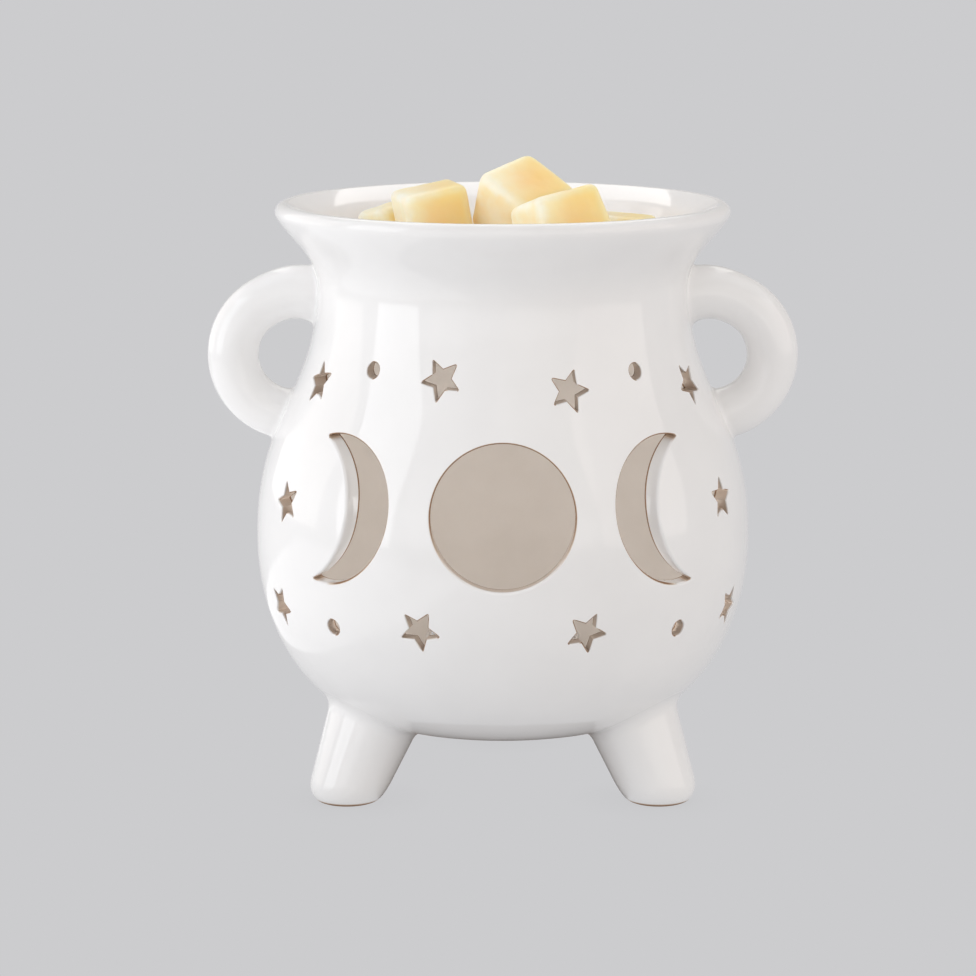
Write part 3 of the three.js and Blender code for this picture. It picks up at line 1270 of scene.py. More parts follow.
    def _arris(self, edge: bmesh.types.BMEdge, depth: float) -> bool:
        """Whether an edge is a cut-out's arris.

        Args:
            edge: An edge of the slab.
            depth: How deep under the outside the arris lies.

        Returns:
            True where it is one.
        """
        if any(abs(vert.co.z + depth) > NEAR for vert in edge.verts) or len(edge.link_faces) != 2:
            return False
        level = [abs(face.normal.z) > self.level_slope for face in edge.link_faces]
        if level[0] == level[1]:
            return False
        return not all(self._on_border(vert.co) for vert in edge.verts)

    def _soften(self, slab: Piece) -> None:
        """Round the cut-outs' arrises as the glaze does.

        Args:
            slab: The cut slab.
        """

        def middle(edge: bmesh.types.BMEdge) -> Vector:
            """An edge's middle."""
            return (edge.verts[0].co + edge.verts[1].co) / 2

        def large(edge: bmesh.types.BMEdge) -> bool:
            """Whether it is an outer arris of the moon or a crescent."""
            return self._arris(edge, 0.0) and self._is_large(*middle(edge)[:2])

        def small(edge: bmesh.types.BMEdge) -> bool:
            """Whether it is an outer arris of a star or a dot."""
            return self._arris(edge, 0.0) and not self._is_large(*middle(edge)[:2])

        def inner(edge: bmesh.types.BMEdge) -> bool:
            """Whether it is an arris on the inside."""
            return self._arris(edge, self.profile.wall)

        rounds = ((large, self.large_arris), (small, self.small_arris), (inner, self.inner_arris))
        with editing(slab):
            for test, size in rounds:
                count = select_edges(slab, test)
                log.info("arrises rounded by %.2f mm: %d", size, count)
                bpy.ops.mesh.bevel(offset=size, segments=self.arris_steps, profile=0.5, affect="EDGES")

    def _rule(self, slab: Piece) -> None:
        """Rule the slab with a fine grid so that it can bend, and open its outer sides.

        Args:
            slab: The cut slab.
        """
        low, high = self._ends()
        lines = [((across, 0, 0), (1, 0, 0)) for across in self._spoke_places()[1:-1]]
        lines += [((0, along, 0), (0, 1, 0)) for along in np.linspace(low, high, self.rows + 1)[1:-1]]
        deepest = self.profile.wall - self.inner_arris
        rim = [arris + self.rule_edge for arris in (self.small_arris, self.large_arris)]
        depths = (*rim, deepest - self.line_width, deepest - self.rule_edge)
        lines += [((0, 0, -depth), (0, 0, 1)) for depth in depths]
        with editing(slab):
            delete_faces(slab, lambda face: all(self._on_border(vert.co) for vert in face.verts))
            for place, normal in lines:
                bpy.ops.mesh.select_all(action="SELECT")
                bpy.ops.mesh.bisect(plane_co=place, plane_no=normal, threshold=1e-4)

    def _spoke_places(self) -> np.ndarray:
        """Places of the spokes across the slab, both ends included."""
        return np.linspace(-self.half_width, self.half_width, self.spokes + 1)

    def _clay_and_shade(self, slab: Piece) -> np.ndarray:
        """How far each vertex of the slab is painted towards clay brown.

        The inner arris of every cut-out is painted clay brown. The crescents' tips are brown partly as
        bare clay and partly as painted shade in their narrow grooves. The front arris is painted brown
        as painted shade on the sides whose walls face away from the front view. The walls of all
        cut-outs but the crescents get the thin-glaze brown, partly thin glaze and partly painted shade.

        Args:
            slab: The ruled slab.

        Returns:
            From 0 to 1 for each vertex.
        """
        flat = points_of(slab)
        depth = -flat[:, 2]
        sides = np.empty(len(flat) * 3)
        slab.data.vertex_normals.foreach_get("vector", sides)
        sides = sides.reshape(-1, 3)[:, :2]
        sides = sides / np.maximum(np.linalg.norm(sides, axis=1, keepdims=True), 1e-6)
        in_wall = depth < self.profile.wall - NEAR
        inner = in_wall & (depth > self.profile.wall - self.inner_arris - self.inner_bare)
        bare = inner.astype(float)
        for cut in self.cuts:
            on = self._nearness(cut, flat) > self.on_outline
            arris = self.large_arris if cut.motif.is_large else self.small_arris
            # Painted shade: the front arris is painted brown on the sides whose walls face away from the
            # front view
            tilt = math.sin(math.radians(cut.azimuth))
            facing_front = eased((self.front_view_tilt * sides[:, 1] - tilt * sides[:, 0]) / self.front_view_tilt)
            brink = on & (depth > NEAR) & (depth < arris + self.edge_slack)
            run = eased((depth / arris - self.painted_shade_start) / self.painted_shade_reach)
            bare[brink] = (run * (1 - facing_front))[brink]
            # Walls of the moon, stars and dots: thin-glaze brown, partly painted shade in the recess
            if cut.motif is not Motif.CRESCENT:
                bare[on & (depth > arris + self.edge_slack) & in_wall & ~inner] = self.thin_glaze_and_shade
                continue
            # Crescent tips: bare clay and painted shade in the narrow grooves
            tips = self._flatten(cut, self.sizes.crescent_tips)
            gaps = np.linalg.norm(flat[:, None, :2] - tips[None], axis=2).min(axis=1)
            tip = self.tip_clay_and_shade * (1 - eased((gaps - self.tip_full_reach) / self.tip_fade))
            deep = on & (depth > arris * self.tip_start)
            bare[deep] = np.maximum(bare, tip)[deep]
        return bare

    def _nearness(self, cut: Cut, flat: np.ndarray) -> np.ndarray:
        """How near places on the slab are to a cut-out's outline.

        Args:
            cut: The cut-out.
            flat: Places on the slab, one row each.

        Returns:
            1 beside the outline, 0 well away from it.
        """
        outline = self.flat_outlines[cut]
        low, high = outline.min(axis=0) - self.bend_reach, outline.max(axis=0) + self.bend_reach
        near = np.flatnonzero(np.all((flat[:, :2] > low) & (flat[:, :2] < high), axis=1))
        gaps = np.linalg.norm(flat[near, None, :2] - outline[None], axis=2).min(axis=1)
        share = np.zeros(len(flat))
        share[near] = eased((self.bend_reach - gaps) / (self.bend_reach - self.straight_reach))
        return share

    def _straight(self, cut: Cut, flat: np.ndarray) -> np.ndarray:
        """Where places on the slab go if a cut-out's walls run straight in.

        The walls of the small cut-outs and of the crescents' tips lean, so that they stay open as seen
        from the front.

        Args:
            cut: The cut-out.
            flat: Places on the slab, one row each.

        Returns:
            Azimuth, radius and height of each.
        """
        pot, depth = self.profile, -flat[:, 2]
        outside, level = pot.at(flat[:, 1])
        middle = math.radians(cut.azimuth)
        right = outside * np.sin(flat[:, 0] / pot.belly_radius - middle)
        share = 1.0
        if cut.motif is Motif.CRESCENT:
            share = np.clip(np.abs(level - cut.z) / self.sizes.crescent_radius, 0, 1) ** 3
        slope = max(-self.lean_limit, min(math.tan(middle), self.lean_limit))
        right += self.lean * slope * depth * share
        length = flat[:, 1].copy()
        for _ in range(self.level_rounds):
            _, height = pot.at(length, depth)
            out, _ = pot.normal_at(length)
            length += (level - height) / np.maximum(out, self.least_out)
        radius, _ = pot.at(length, depth)
        azimuth = middle + np.arcsin(np.clip(right / radius, -1, 1))
        return np.column_stack([azimuth, radius, level])

    def _roll(self, slab: Piece) -> None:
        """Bend the slab round the pot, with each cut-out's walls straight along its own direction.

        Args:
            slab: The ruled slab.
        """
        flat = points_of(slab)
        radius, height = self.profile.at(flat[:, 1], -flat[:, 2])
        turned = np.column_stack([flat[:, 0] / self.profile.belly_radius, radius, height])
        for cut in self.cuts:
            share = self._nearness(cut, flat)
            near = np.flatnonzero((share > 0) & (flat[:, 2] < -1e-6))
            turned[near] += share[near, None] * (self._straight(cut, flat[near]) - turned[near])
        azimuth, radius, height = turned.T
        right, front = radius * np.sin(azimuth), radius * np.cos(azimuth)
        place_points(slab, np.column_stack([right, -front, height]))

    def _bowl(self) -> Piece:
        """The plain lower part: outside with its flat base, and inside with its floor.

        Returns:
            Both shells in one object.
        """
        low, _ = self._ends()
        pot = self.profile
        shells = []
        for name, level, inset in (("outside", pot.base_z, 0.0), ("inside", pot.floor_z, pot.wall)):
            side = pot.side(0.0, low, self.side_steps, inset)
            profile = [(0.0, level), (pot.base_radius / 2, level), *side]
            shells.append(lathe("bowl_" + name, profile, self.spokes))
        return self._join(shells, merge=False)

    def _mouth(self) -> Piece:
        """The plain upper part: neck, flare, rounded lip and the seat inside.

        Returns:
            The turned mouth.
        """
        _, high = self._ends()
        pot = self.profile
        top = float(pot.table[-1, 0])
        outside = pot.side(high, top, self.side_steps)
        lip = arc(pot.lip_centre, pot.lip_round, -pot.flare_angle, pot.rebate_angle, self.lip_steps)
        inside = pot.seat(high, self.side_steps)[::-1]
        return lathe("mouth", outside + lip[1:] + inside, self.spokes)

    def _join(self, parts: Sequence[Piece], merge: bool = True) -> Piece:
        """Join parts into the first one.

        Args:
            parts: The parts to join.
            merge: Whether they are merged where they meet.

        Returns:
            The joined part.
        """
        use_only(parts[0])
        for part in parts:
            part.select_set(True)
        bpy.ops.object.join()
        if merge:
            close_up(parts[0], self.weld)
        return parts[0]

    def _line(self, pot: Piece) -> None:
        """Give the faces inside the pot, below the dish, the second material.

        Args:
            pot: The joined pot.
        """
        mesh = pot.data
        middles = np.empty(len(mesh.polygons) * 3)
        mesh.polygons.foreach_get("center", middles)
        middles = middles.reshape(-1, 3)
        away, _ = self.profile.distance(middles)
        lining = self.inner_arris * self.lining_share - self.profile.wall
        lined = (away < lining) & (middles[:, 2] < self.clay_top)
        mesh.polygons.foreach_set("material_index", lined.astype(np.int32))

    def _shade(self, pot: Piece) -> None:
        """Shade the pot smooth, with exact normals on its outside and inside.

        Args:
            pot: The joined pot.
        """
        use_only(pot)
        bpy.ops.object.shade_smooth_by_angle(angle=math.radians(self.smooth_angle))
        mesh = pot.data
        places = points_of(pot)
        away, direction = self.profile.distance(places)
        low, high = self.cut_low - self.zone_margin, self.cut_high + self.zone_margin
        zone = (places[:, 2] > low) & (places[:, 2] < high)
        outside = zone & (np.abs(away) < self.edge_slack)
        inside = zone & (np.abs(away + self.profile.wall) < self.edge_slack)
        corners = np.empty(len(mesh.loops) * 3)
        mesh.corner_normals.foreach_get("vector", corners)
        corners = corners.reshape(-1, 3)
        vertex = np.empty(len(mesh.loops), dtype=np.int32)
        mesh.loops.foreach_get("vertex_index", vertex)
        corners[outside[vertex]] = direction[vertex][outside[vertex]]
        corners[inside[vertex]] = -direction[vertex][inside[vertex]]
        mesh.normals_split_custom_set(corners.tolist())


# Handles and legs


@dataclass(frozen=True)
class Fillet:
    """A soft joint between a luted piece and the pot, where the slip was smoothed over."""

    profile: PotProfile
    reach: float
    overlap: float = 1.6
    sink: float = 0.06
    rounds: int = 8
    plug_depth: float = 0.4
    least_slope: float = 0.05

    def settle(self, places: np.ndarray, tool: Tool) -> np.ndarray:
        """Move points onto the smooth union of a luted piece and the pot.

        Args:
            places: Points near the joint.
            tool: Gives signed distance and direction for the luted piece alone.

        Returns:
            The settled points.
        """
        settled = places.copy()
        for _ in range(self.rounds):
            own, own_way = tool(settled)
            pot, pot_way = self.profile.distance(settled)
            share = np.maximum(self.reach - np.abs(own - pot), 0) / self.reach
            level = np.minimum(own, pot) - share**2 * self.reach / 4
            own_weight = np.where(own < pot, 1 - share / 2, share / 2)[:, None]
            way = own_weight * own_way + (1 - own_weight) * pot_way
            steep = np.maximum((way**2).sum(axis=1), self.least_slope)
            settled -= (level / steep)[:, None] * way
        return settled

    def skirt(self, start: np.ndarray, tool: Tool, steps: int) -> np.ndarray:
        """Rings that run from the joint line out over the pot and sink into its glaze.

        Args:
            start: The joint line, one row for each column.
            tool: Gives signed distance and direction for the luted piece alone.
            steps: How many rings there are.

        Returns:
            Rings by columns by three numbers.
        """
        _, own_way = tool(start)
        _, pot_way = self.profile.distance(start)
        along = own_way - (own_way * pot_way).sum(axis=1, keepdims=True) * pot_way
        along /= np.maximum(np.linalg.norm(along, axis=1, keepdims=True), 1e-6)
        rings = []
        for step in range(1, steps + 1):
            ring = self.settle(start + along * self.reach * self.overlap * step / steps, tool)
            rings.append(ring)
        _, last_way = self.profile.distance(rings[-1])
        rings[-1] = rings[-1] - self.sink * last_way
        return np.array(rings)

    def plug(self, ring: np.ndarray) -> np.ndarray:
        """A point inside the pot's wall that closes a ring.

        Args:
            ring: The ring, one row for each column.

        Returns:
            The point, repeated for each column.
        """
        middle = ring.mean(axis=0)
        away, way = self.profile.distance(middle[None])
        inside = middle - (away + self.profile.wall * self.plug_depth)[:, None] * way
        return np.repeat(inside, len(ring), axis=0)


@dataclass
class LoopHandles:
    """Two loop handles, luted to neck and belly: one is modelled and copied for the other side."""

    profile: PotProfile
    z: float = 106.5
    stand: float = 6.0
    loop: float = 14.75
    thickness: float = 12.5
    top_rise: float = 1.0
    top_swell: float = 0.5
    top_start: float = 60.0
    top_end: float = 110.0
    fillet: float = 1.4
    buried_turn: float = 0.98
    crowding: float = 0.05
    columns: int = 56
    levels: int = 64
    skirt_steps: int = 8

    @property
    def centre(self) -> float:
        """How far the loop's centre is from the pot's axis."""
        return self.profile.neck_radius + self.stand

    def bend(self, turn: np.ndarray) -> tuple[np.ndarray, np.ndarray]:
        """Radius of the loop and of its tube, which both grow towards the upper joint."""
        upper = eased((np.degrees(turn) - self.top_start) / (self.top_end - self.top_start))
        return self.loop + self.top_rise * upper, self.thickness / 2 + self.top_swell * upper

    def tool(self, places: np.ndarray) -> tuple[np.ndarray, np.ndarray]:
        """How far points are from the loop.

        Args:
            places: Points, one row each.

        Returns:
            Signed distances and their directions.
        """
        across, along = places[:, 0] - self.centre, places[:, 2] - self.z
        loop, tube = self.bend(np.arctan2(along, across))
        reach = np.maximum(np.hypot(across, along), 1e-6)
        off, side = reach - loop, places[:, 1]
        size = np.maximum(np.hypot(off, side), 1e-6)
        way = np.column_stack([off / size * across / reach, side / size, off / size * along / reach])
        return size - tube, way

    def ring(self, turn: np.ndarray, angle: np.ndarray) -> np.ndarray:
        """Points on the loop.

        Args:
            turn: Angle round the loop from its outermost point.
            angle: Angle round its tube.

        Returns:
            The points, one row each.
        """
        loop, tube = self.bend(turn)
        reach = loop + tube * np.cos(angle)
        return np.column_stack([
            self.centre + reach * np.cos(turn), tube * np.sin(angle), self.z + reach * np.sin(turn)
        ])

    def meeting(self, angle: np.ndarray, sign: float) -> np.ndarray:
        """Where each line along the tube runs into the pot.

        Args:
            angle: Each line's angle round the tube.
            sign: 1 for upwards and -1 for downwards.

        Returns:
            The angles round the loop.
        """
        free = np.zeros_like(angle)
        stuck = np.full_like(angle, math.pi * self.buried_turn)
        return sign * self.profile.meeting(free, stuck, lambda turn: self.ring(sign * turn, angle))

    def build(self) -> Piece:
        """Model the right handle.

        Returns:
            The handle, in millimetres.
        """
        joint = Fillet(self.profile, self.fillet)
        angle = np.linspace(0, math.tau, self.columns, endpoint=False)
        low, high = self.meeting(angle, -1.0), self.meeting(angle, 1.0)
        share = np.linspace(0, 1, self.levels + 1)
        share = share - self.crowding * np.sin(2 * math.tau * share)
        rings = [joint.settle(self.ring(low + s * (high - low), angle), self.tool) for s in share]
        under = joint.skirt(self.ring(low, angle), self.tool, self.skirt_steps)
        over = joint.skirt(self.ring(high, angle), self.tool, self.skirt_steps)
        rows = [joint.plug(under[-1]), *under[::-1], *rings, *over, joint.plug(over[-1])]
        return roll_up("right_handle_blank", np.array(rows))

    def dress(self, right: Piece, glaze: Material) -> None:
        """Copy the handle for the left side and hand both to the frame.

        Args:
            right: The modelled handle.
            glaze: Its finish.
        """
        left = turned_copy(right, 180.0)
        finish_piece(right, "right_handle", "cauldron", [glaze])
        finish_piece(left, "left_handle", "cauldron", [glaze])


@dataclass
class SplayedLegs:
    """Three splayed legs luted under the belly: one is modelled and copied."""

    profile: PotProfile
    spread: float = 17.45
    lean: float = 13.47
    foot_radius: float = 9.3
    foot_round: float = 3.0
    foot_rise: float = 5.5
    foot_tuck: float = 1.2
    shank_radius: float = 13.3
    shank_top: float = 13.0
    fillet: float = 2.6
    bare_height: float = 0.9
    bare_fade: float = 0.15
    sole_rings: tuple[float, ...] = (0.0, 0.5, 0.85)
    settled_from: float = 0.2
    columns: int = 72
    foot_steps: int = 10
    levels: int = 36
    skirt_steps: int = 12
    azimuths: tuple[tuple[str, float], ...] = (
        ("front_left_leg", 210.0), ("front_right_leg", 330.0), ("rear_leg", 90.0)
    )

    @property
    def circle(self) -> float:
        """Radius of the circle that the feet stand on."""
        return self.profile.base_radius + self.spread

    @property
    def top(self) -> float:
        """Height at which the shank ends, inside the pot."""
        return self.profile.base_z + self.shank_top

    @property
    def widening(self) -> float:
        """How much the shank's radius grows for each millimetre of height."""
        return (self.shank_radius - self.foot_radius) / self.top

    def tool(self, places: np.ndarray) -> tuple[np.ndarray, np.ndarray]:
        """How far points are from the leg's straight shank.

        Args:
            places: Points, one row each.

        Returns:
            Signed distances and their directions.
        """
        slope = self.lean / self.top
        across, side = places[:, 0] - self.circle + slope * places[:, 2], places[:, 1]
        reach = np.maximum(np.hypot(across, side), 1e-6)
        way = np.column_stack([across / reach, side / reach, across / reach * slope - self.widening])
        size = np.linalg.norm(way, axis=1)
        radius = self.foot_radius + self.widening * places[:, 2]
        return (reach - radius) / size, way / size[:, None]

    def side(self, height: np.ndarray, angle: np.ndarray) -> np.ndarray:
        """Points on the leg's side, with its rounded foot tucked under.

        Args:
            height: Height of each point.
            angle: Angle of each point round the leg.

        Returns:
            The points, one row each.
        """
        under = np.clip(1 - height / self.foot_rise, 0, 1)
        rounding = self.foot_round * (1 - np.sqrt(1 - under**2))
        radius = self.foot_radius + self.widening * height - rounding
        tuck = self.foot_tuck * under**2
        middle = self.circle - self.lean * height / self.top - tuck
        return np.column_stack([middle + radius * np.cos(angle), radius * np.sin(angle), height])

    def build(self) -> Piece:
        """Model one leg along +X, with its bare foot marked.

        Returns:
            The leg, in millimetres.
        """
        joint = Fillet(self.profile, self.fillet)
        angle = np.linspace(0, math.tau, self.columns, endpoint=False)
        low, high = np.full(self.columns, self.foot_rise), np.full(self.columns, self.top)
        joint_line = self.profile.meeting(low, high, lambda height: self.side(height, angle))
        sole = self.side(np.zeros(self.columns), angle)
        heart = sole.mean(axis=0)
        rows = [heart + share * (sole - heart) for share in self.sole_rings]
        for step in np.linspace(0, math.pi / 2, self.foot_steps + 1):
            rows.append(self.side(np.full(self.columns, self.foot_rise * (1 - math.cos(step))), angle))
        for share in np.linspace(0, 1, self.levels + 1)[1:]:
            ring = self.side(self.foot_rise + share * (joint_line - self.foot_rise), angle)
            rows.append(joint.settle(ring, self.tool) if share > self.settled_from else ring)
        skirt = joint.skirt(self.side(joint_line, angle), self.tool, self.skirt_steps)
        leg = roll_up("leg_blank", np.array([*rows, *skirt, joint.plug(skirt[-1])]))
        height = points_of(leg)[:, 2]
        write_points(leg, "clay_and_painted_shade", np.clip((self.bare_height - height) / self.bare_fade + 0.5, 0, 1))
        return leg

    def dress(self, leg: Piece, glaze: Material) -> None:
        """Copy the leg round the pot and hand each copy to the frame.

        Args:
            leg: The modelled leg, which is removed.
            glaze: Its finish.
        """
        for node, azimuth in self.azimuths:
            finish_piece(turned_copy(leg, azimuth), node, "cauldron", [glaze])
        bpy.data.objects.remove(leg)


# Dish and wax melts


@dataclass
class OilDish:
    """The lift-out dish that nests in the flared mouth."""

    profile: PotProfile
    seat_gap: float = 0.08
    slit: float = 0.5
    wall: float = 2.5
    depth: float = 13.0
    drop: float = 0.9
    brim_drop: float = 4.2
    brim_steps: int = 16
    floor_round: float = 5.0
    heel_share: float = 0.8
    heel_steps: int = 10
    foot_share: float = 0.6
    foot_inset: float = 0.6
    foot_steps: int = 8
    seat_steps: int = 30
    wall_steps: int = 24
    spokes: int = 144

    @property
    def rim_z(self) -> float:
        """Height of the dish's rim."""
        return self.profile.rim_z - self.drop

    @property
    def floor_z(self) -> float:
        """Height of the dish's floor."""
        return self.rim_z - self.depth

    def build(self) -> Piece:
        """Model the dish, whose rim lies in the lip's rebate and carries on its round.

        Returns:
            The dish, in millimetres.
        """
        pot = self.profile
        under = self.floor_z - self.wall
        start = float(pot.length_at(under + self.floor_round * self.foot_share))
        outside = pot.seat(start, self.seat_steps, self.seat_gap, self.slit)
        thickness = pot.wall + self.seat_gap + self.wall
        top = pot.rim_z - self.brim_drop
        inside = pot.inside(thickness, self.floor_z, top, self.wall_steps)[::-1]
        edge = outside[0][0]
        corner = (edge - self.foot_inset, under)
        foot = softened((edge - self.floor_round, under), corner, outside[0], self.foot_steps)
        base = [(0.0, under), (edge / 2, under), *foot]
        profile = [*base, *outside[1:], *self._brim(inside)[:-1], *self._heel(inside)]
        return lathe("oil_dish_blank", profile, self.spokes)

    def _brim(self, inside: Sequence[Point]) -> list[Point]:
        """The rim's top: a curve from the lip's round, with its slope, in to the inner wall.

        Args:
            inside: Points down the inner wall.

        Returns:
            Points of the curve.
        """
        pot = self.profile
        turn = math.radians(pot.rebate_angle + self.slit)
        start = np.array(pot.lip_centre) + pot.lip_round * np.array([math.cos(turn), math.sin(turn)])
        into = np.array([-math.sin(turn), math.cos(turn)])
        end, below = np.array(inside[0]), np.array(inside[1])
        rise = (end - below) / np.linalg.norm(end - below)
        reach, _ = np.linalg.solve(np.column_stack([into, -rise]), end - start)
        return softened(tuple(start), tuple(start + reach * into), tuple(end), self.brim_steps)

    def _heel(self, inside: Sequence[Point]) -> list[Point]:
        """The inside from below the rim, with a soft bend from wall to floor, to the middle.

        Args:
            inside: Points down the inner wall.

        Returns:
            Points of radius and height.
        """
        bend_top = self.floor_z + self.floor_round * self.heel_share
        wall = [point for point in inside if point[1] > bend_top]
        corner = inside[-1]
        flat = (corner[0] - self.floor_round, self.floor_z)
        bend = softened(wall[-1], corner, flat, self.heel_steps)
        return [*wall[:-1], *bend, (corner[0] / 2, self.floor_z), (0.0, self.floor_z)]

    def dress(self, dish: Piece, glaze: Material) -> None:
        """Hand the dish to the frame in its glaze."""
        finish_piece(dish, "oil_dish", "dish", [glaze], 60.0)


@dataclass(frozen=True)
class Melt:
    """One wax melt: its size, place on the dish floor, turn about X, Y and Z, taper and edges."""

    name: str
    size: Triple
    at: Point
    turn: Triple
    taper: float = 0.0
    edge_round: float = 1.9


@dataclass
class WaxMelts:
    """The pile of wax melts that lies loose in the dish."""

    dish: OilDish
    rest_gap: float = 0.3
    stand_round: float = 2.5
    # Painted light: the melts are paler on their left, towards the lamps, and along their edges as
    # painted highlight
    edge_highlight_reach: float = 2.2
    lit_side_end: float = 0.25
    lit_side_fade: float = 0.65
    lit_side_share: float = 0.75
    edge_highlight_share: float = 0.25
    edge_steps: int = 5
    cell: float = 0.45
    slump: float = 0.5
    slump_size: float = 9.0
    slump_middle: float = 0.62
    smoothing: float = 0.5
    smooth_rounds: int = 2
    melts: tuple[Melt, ...] = (
        Melt("left", (15, 13, 10), (-26.3, 18.4), (0, -15, 36)),
        Melt("back", (16.3, 16.5, 15.9), (-17.0, 3.4), (3.8, -10.7, 14.6)),
        Melt("top", (18.2, 17.8, 16.7), (4.9, 0.9), (30.9, 9.6, -46.3), edge_round=2.7),
        Melt("front", (17, 16, 15), (13.8, -20), (-9.3, -16.7, 27.4), 0.15),
        Melt("right", (15, 14, 10), (29, 2), (0, 3, -18)),
    )

    def place(self, melt: Melt) -> Matrix:
        """Where a melt lies, with its lowest point on the dish floor.

        Args:
            melt: The melt.

        Returns:
            Its turn and place.
        """
        turn = Matrix.Identity(3)
        for angle, axis in zip(melt.turn, "XYZ"):
            turn = turn @ Matrix.Rotation(math.radians(angle), 3, axis)
        reach = self.stand_round
        for side in range(3):
            reach += abs(turn[2][side]) * (melt.size[side] / 2 - self.stand_round)
        height = self.dish.floor_z + self.rest_gap + reach
        return Matrix.Translation((*melt.at, height)) @ turn.to_4x4()

    def build(self, melt: Melt) -> Piece:
        """Model one melt in place.

        Args:
            melt: The melt.

        Returns:
            Its mesh, in millimetres.
        """
        deselect()
        bpy.ops.mesh.primitive_cube_add(size=1.0)
        obj = bpy.context.object
        obj.scale = melt.size
        bpy.ops.object.transform_apply(scale=True)
        with editing(obj):
            bpy.ops.mesh.bevel(
                offset=melt.edge_round, segments=self.edge_steps, profile=0.5, affect="EDGES"
            )
        apply_modifier(obj, "REMESH", mode="VOXEL", voxel_size=self.cell)
        local = points_of(obj)
        # The frosted attribute holds painted light and painted highlight
        write_points(obj, "frosted", self._painted_light(melt, local))
        local[:, :2] *= 1 + melt.taper * (0.5 - local[:, 2:] / melt.size[2])
        place_points(obj, local)
        clouds = bpy.data.textures.new("slump_" + melt.name, "CLOUDS")
        clouds.noise_scale = self.slump_size
        obj.data.transform(self.place(melt))
        apply_modifier(
            obj,
            "DISPLACE",
            texture=clouds,
            strength=self.slump,
            mid_level=self.slump_middle,
            texture_coords="LOCAL",
        )
        apply_modifier(obj, "SMOOTH", factor=self.smoothing, iterations=self.smooth_rounds)
        return obj

    def _painted_light(self, melt: Melt, local: np.ndarray) -> np.ndarray:
        """Painted light on a melt: paler on its left, towards the lamps, and as painted highlight on its
        edges.

        Args:
            melt: The melt.
            local: Its vertices about its own middle, one row each.

        Returns:
            From 0 to 1 for each vertex.
        """
        inset = np.sort(np.array(melt.size) / 2 - np.abs(local), axis=1)[:, 1]
        edge = 1 - eased((inset - melt.edge_round / 3) / self.edge_highlight_reach)
        across = local @ np.array(self.place(melt).to_3x3())[0] / melt.size[0]
        side = eased((self.lit_side_end - across) / self.lit_side_fade)
        return np.clip(self.lit_side_share * side + self.edge_highlight_share * edge, 0, 1)

    def dress(self, melt: Melt, obj: Piece, wax: Material) -> None:
        """Hand a melt to the frame in its wax."""
        finish_piece(obj, "wax_melt_" + melt.name, "melt_" + melt.name, [wax], 180.0)


# Tealight


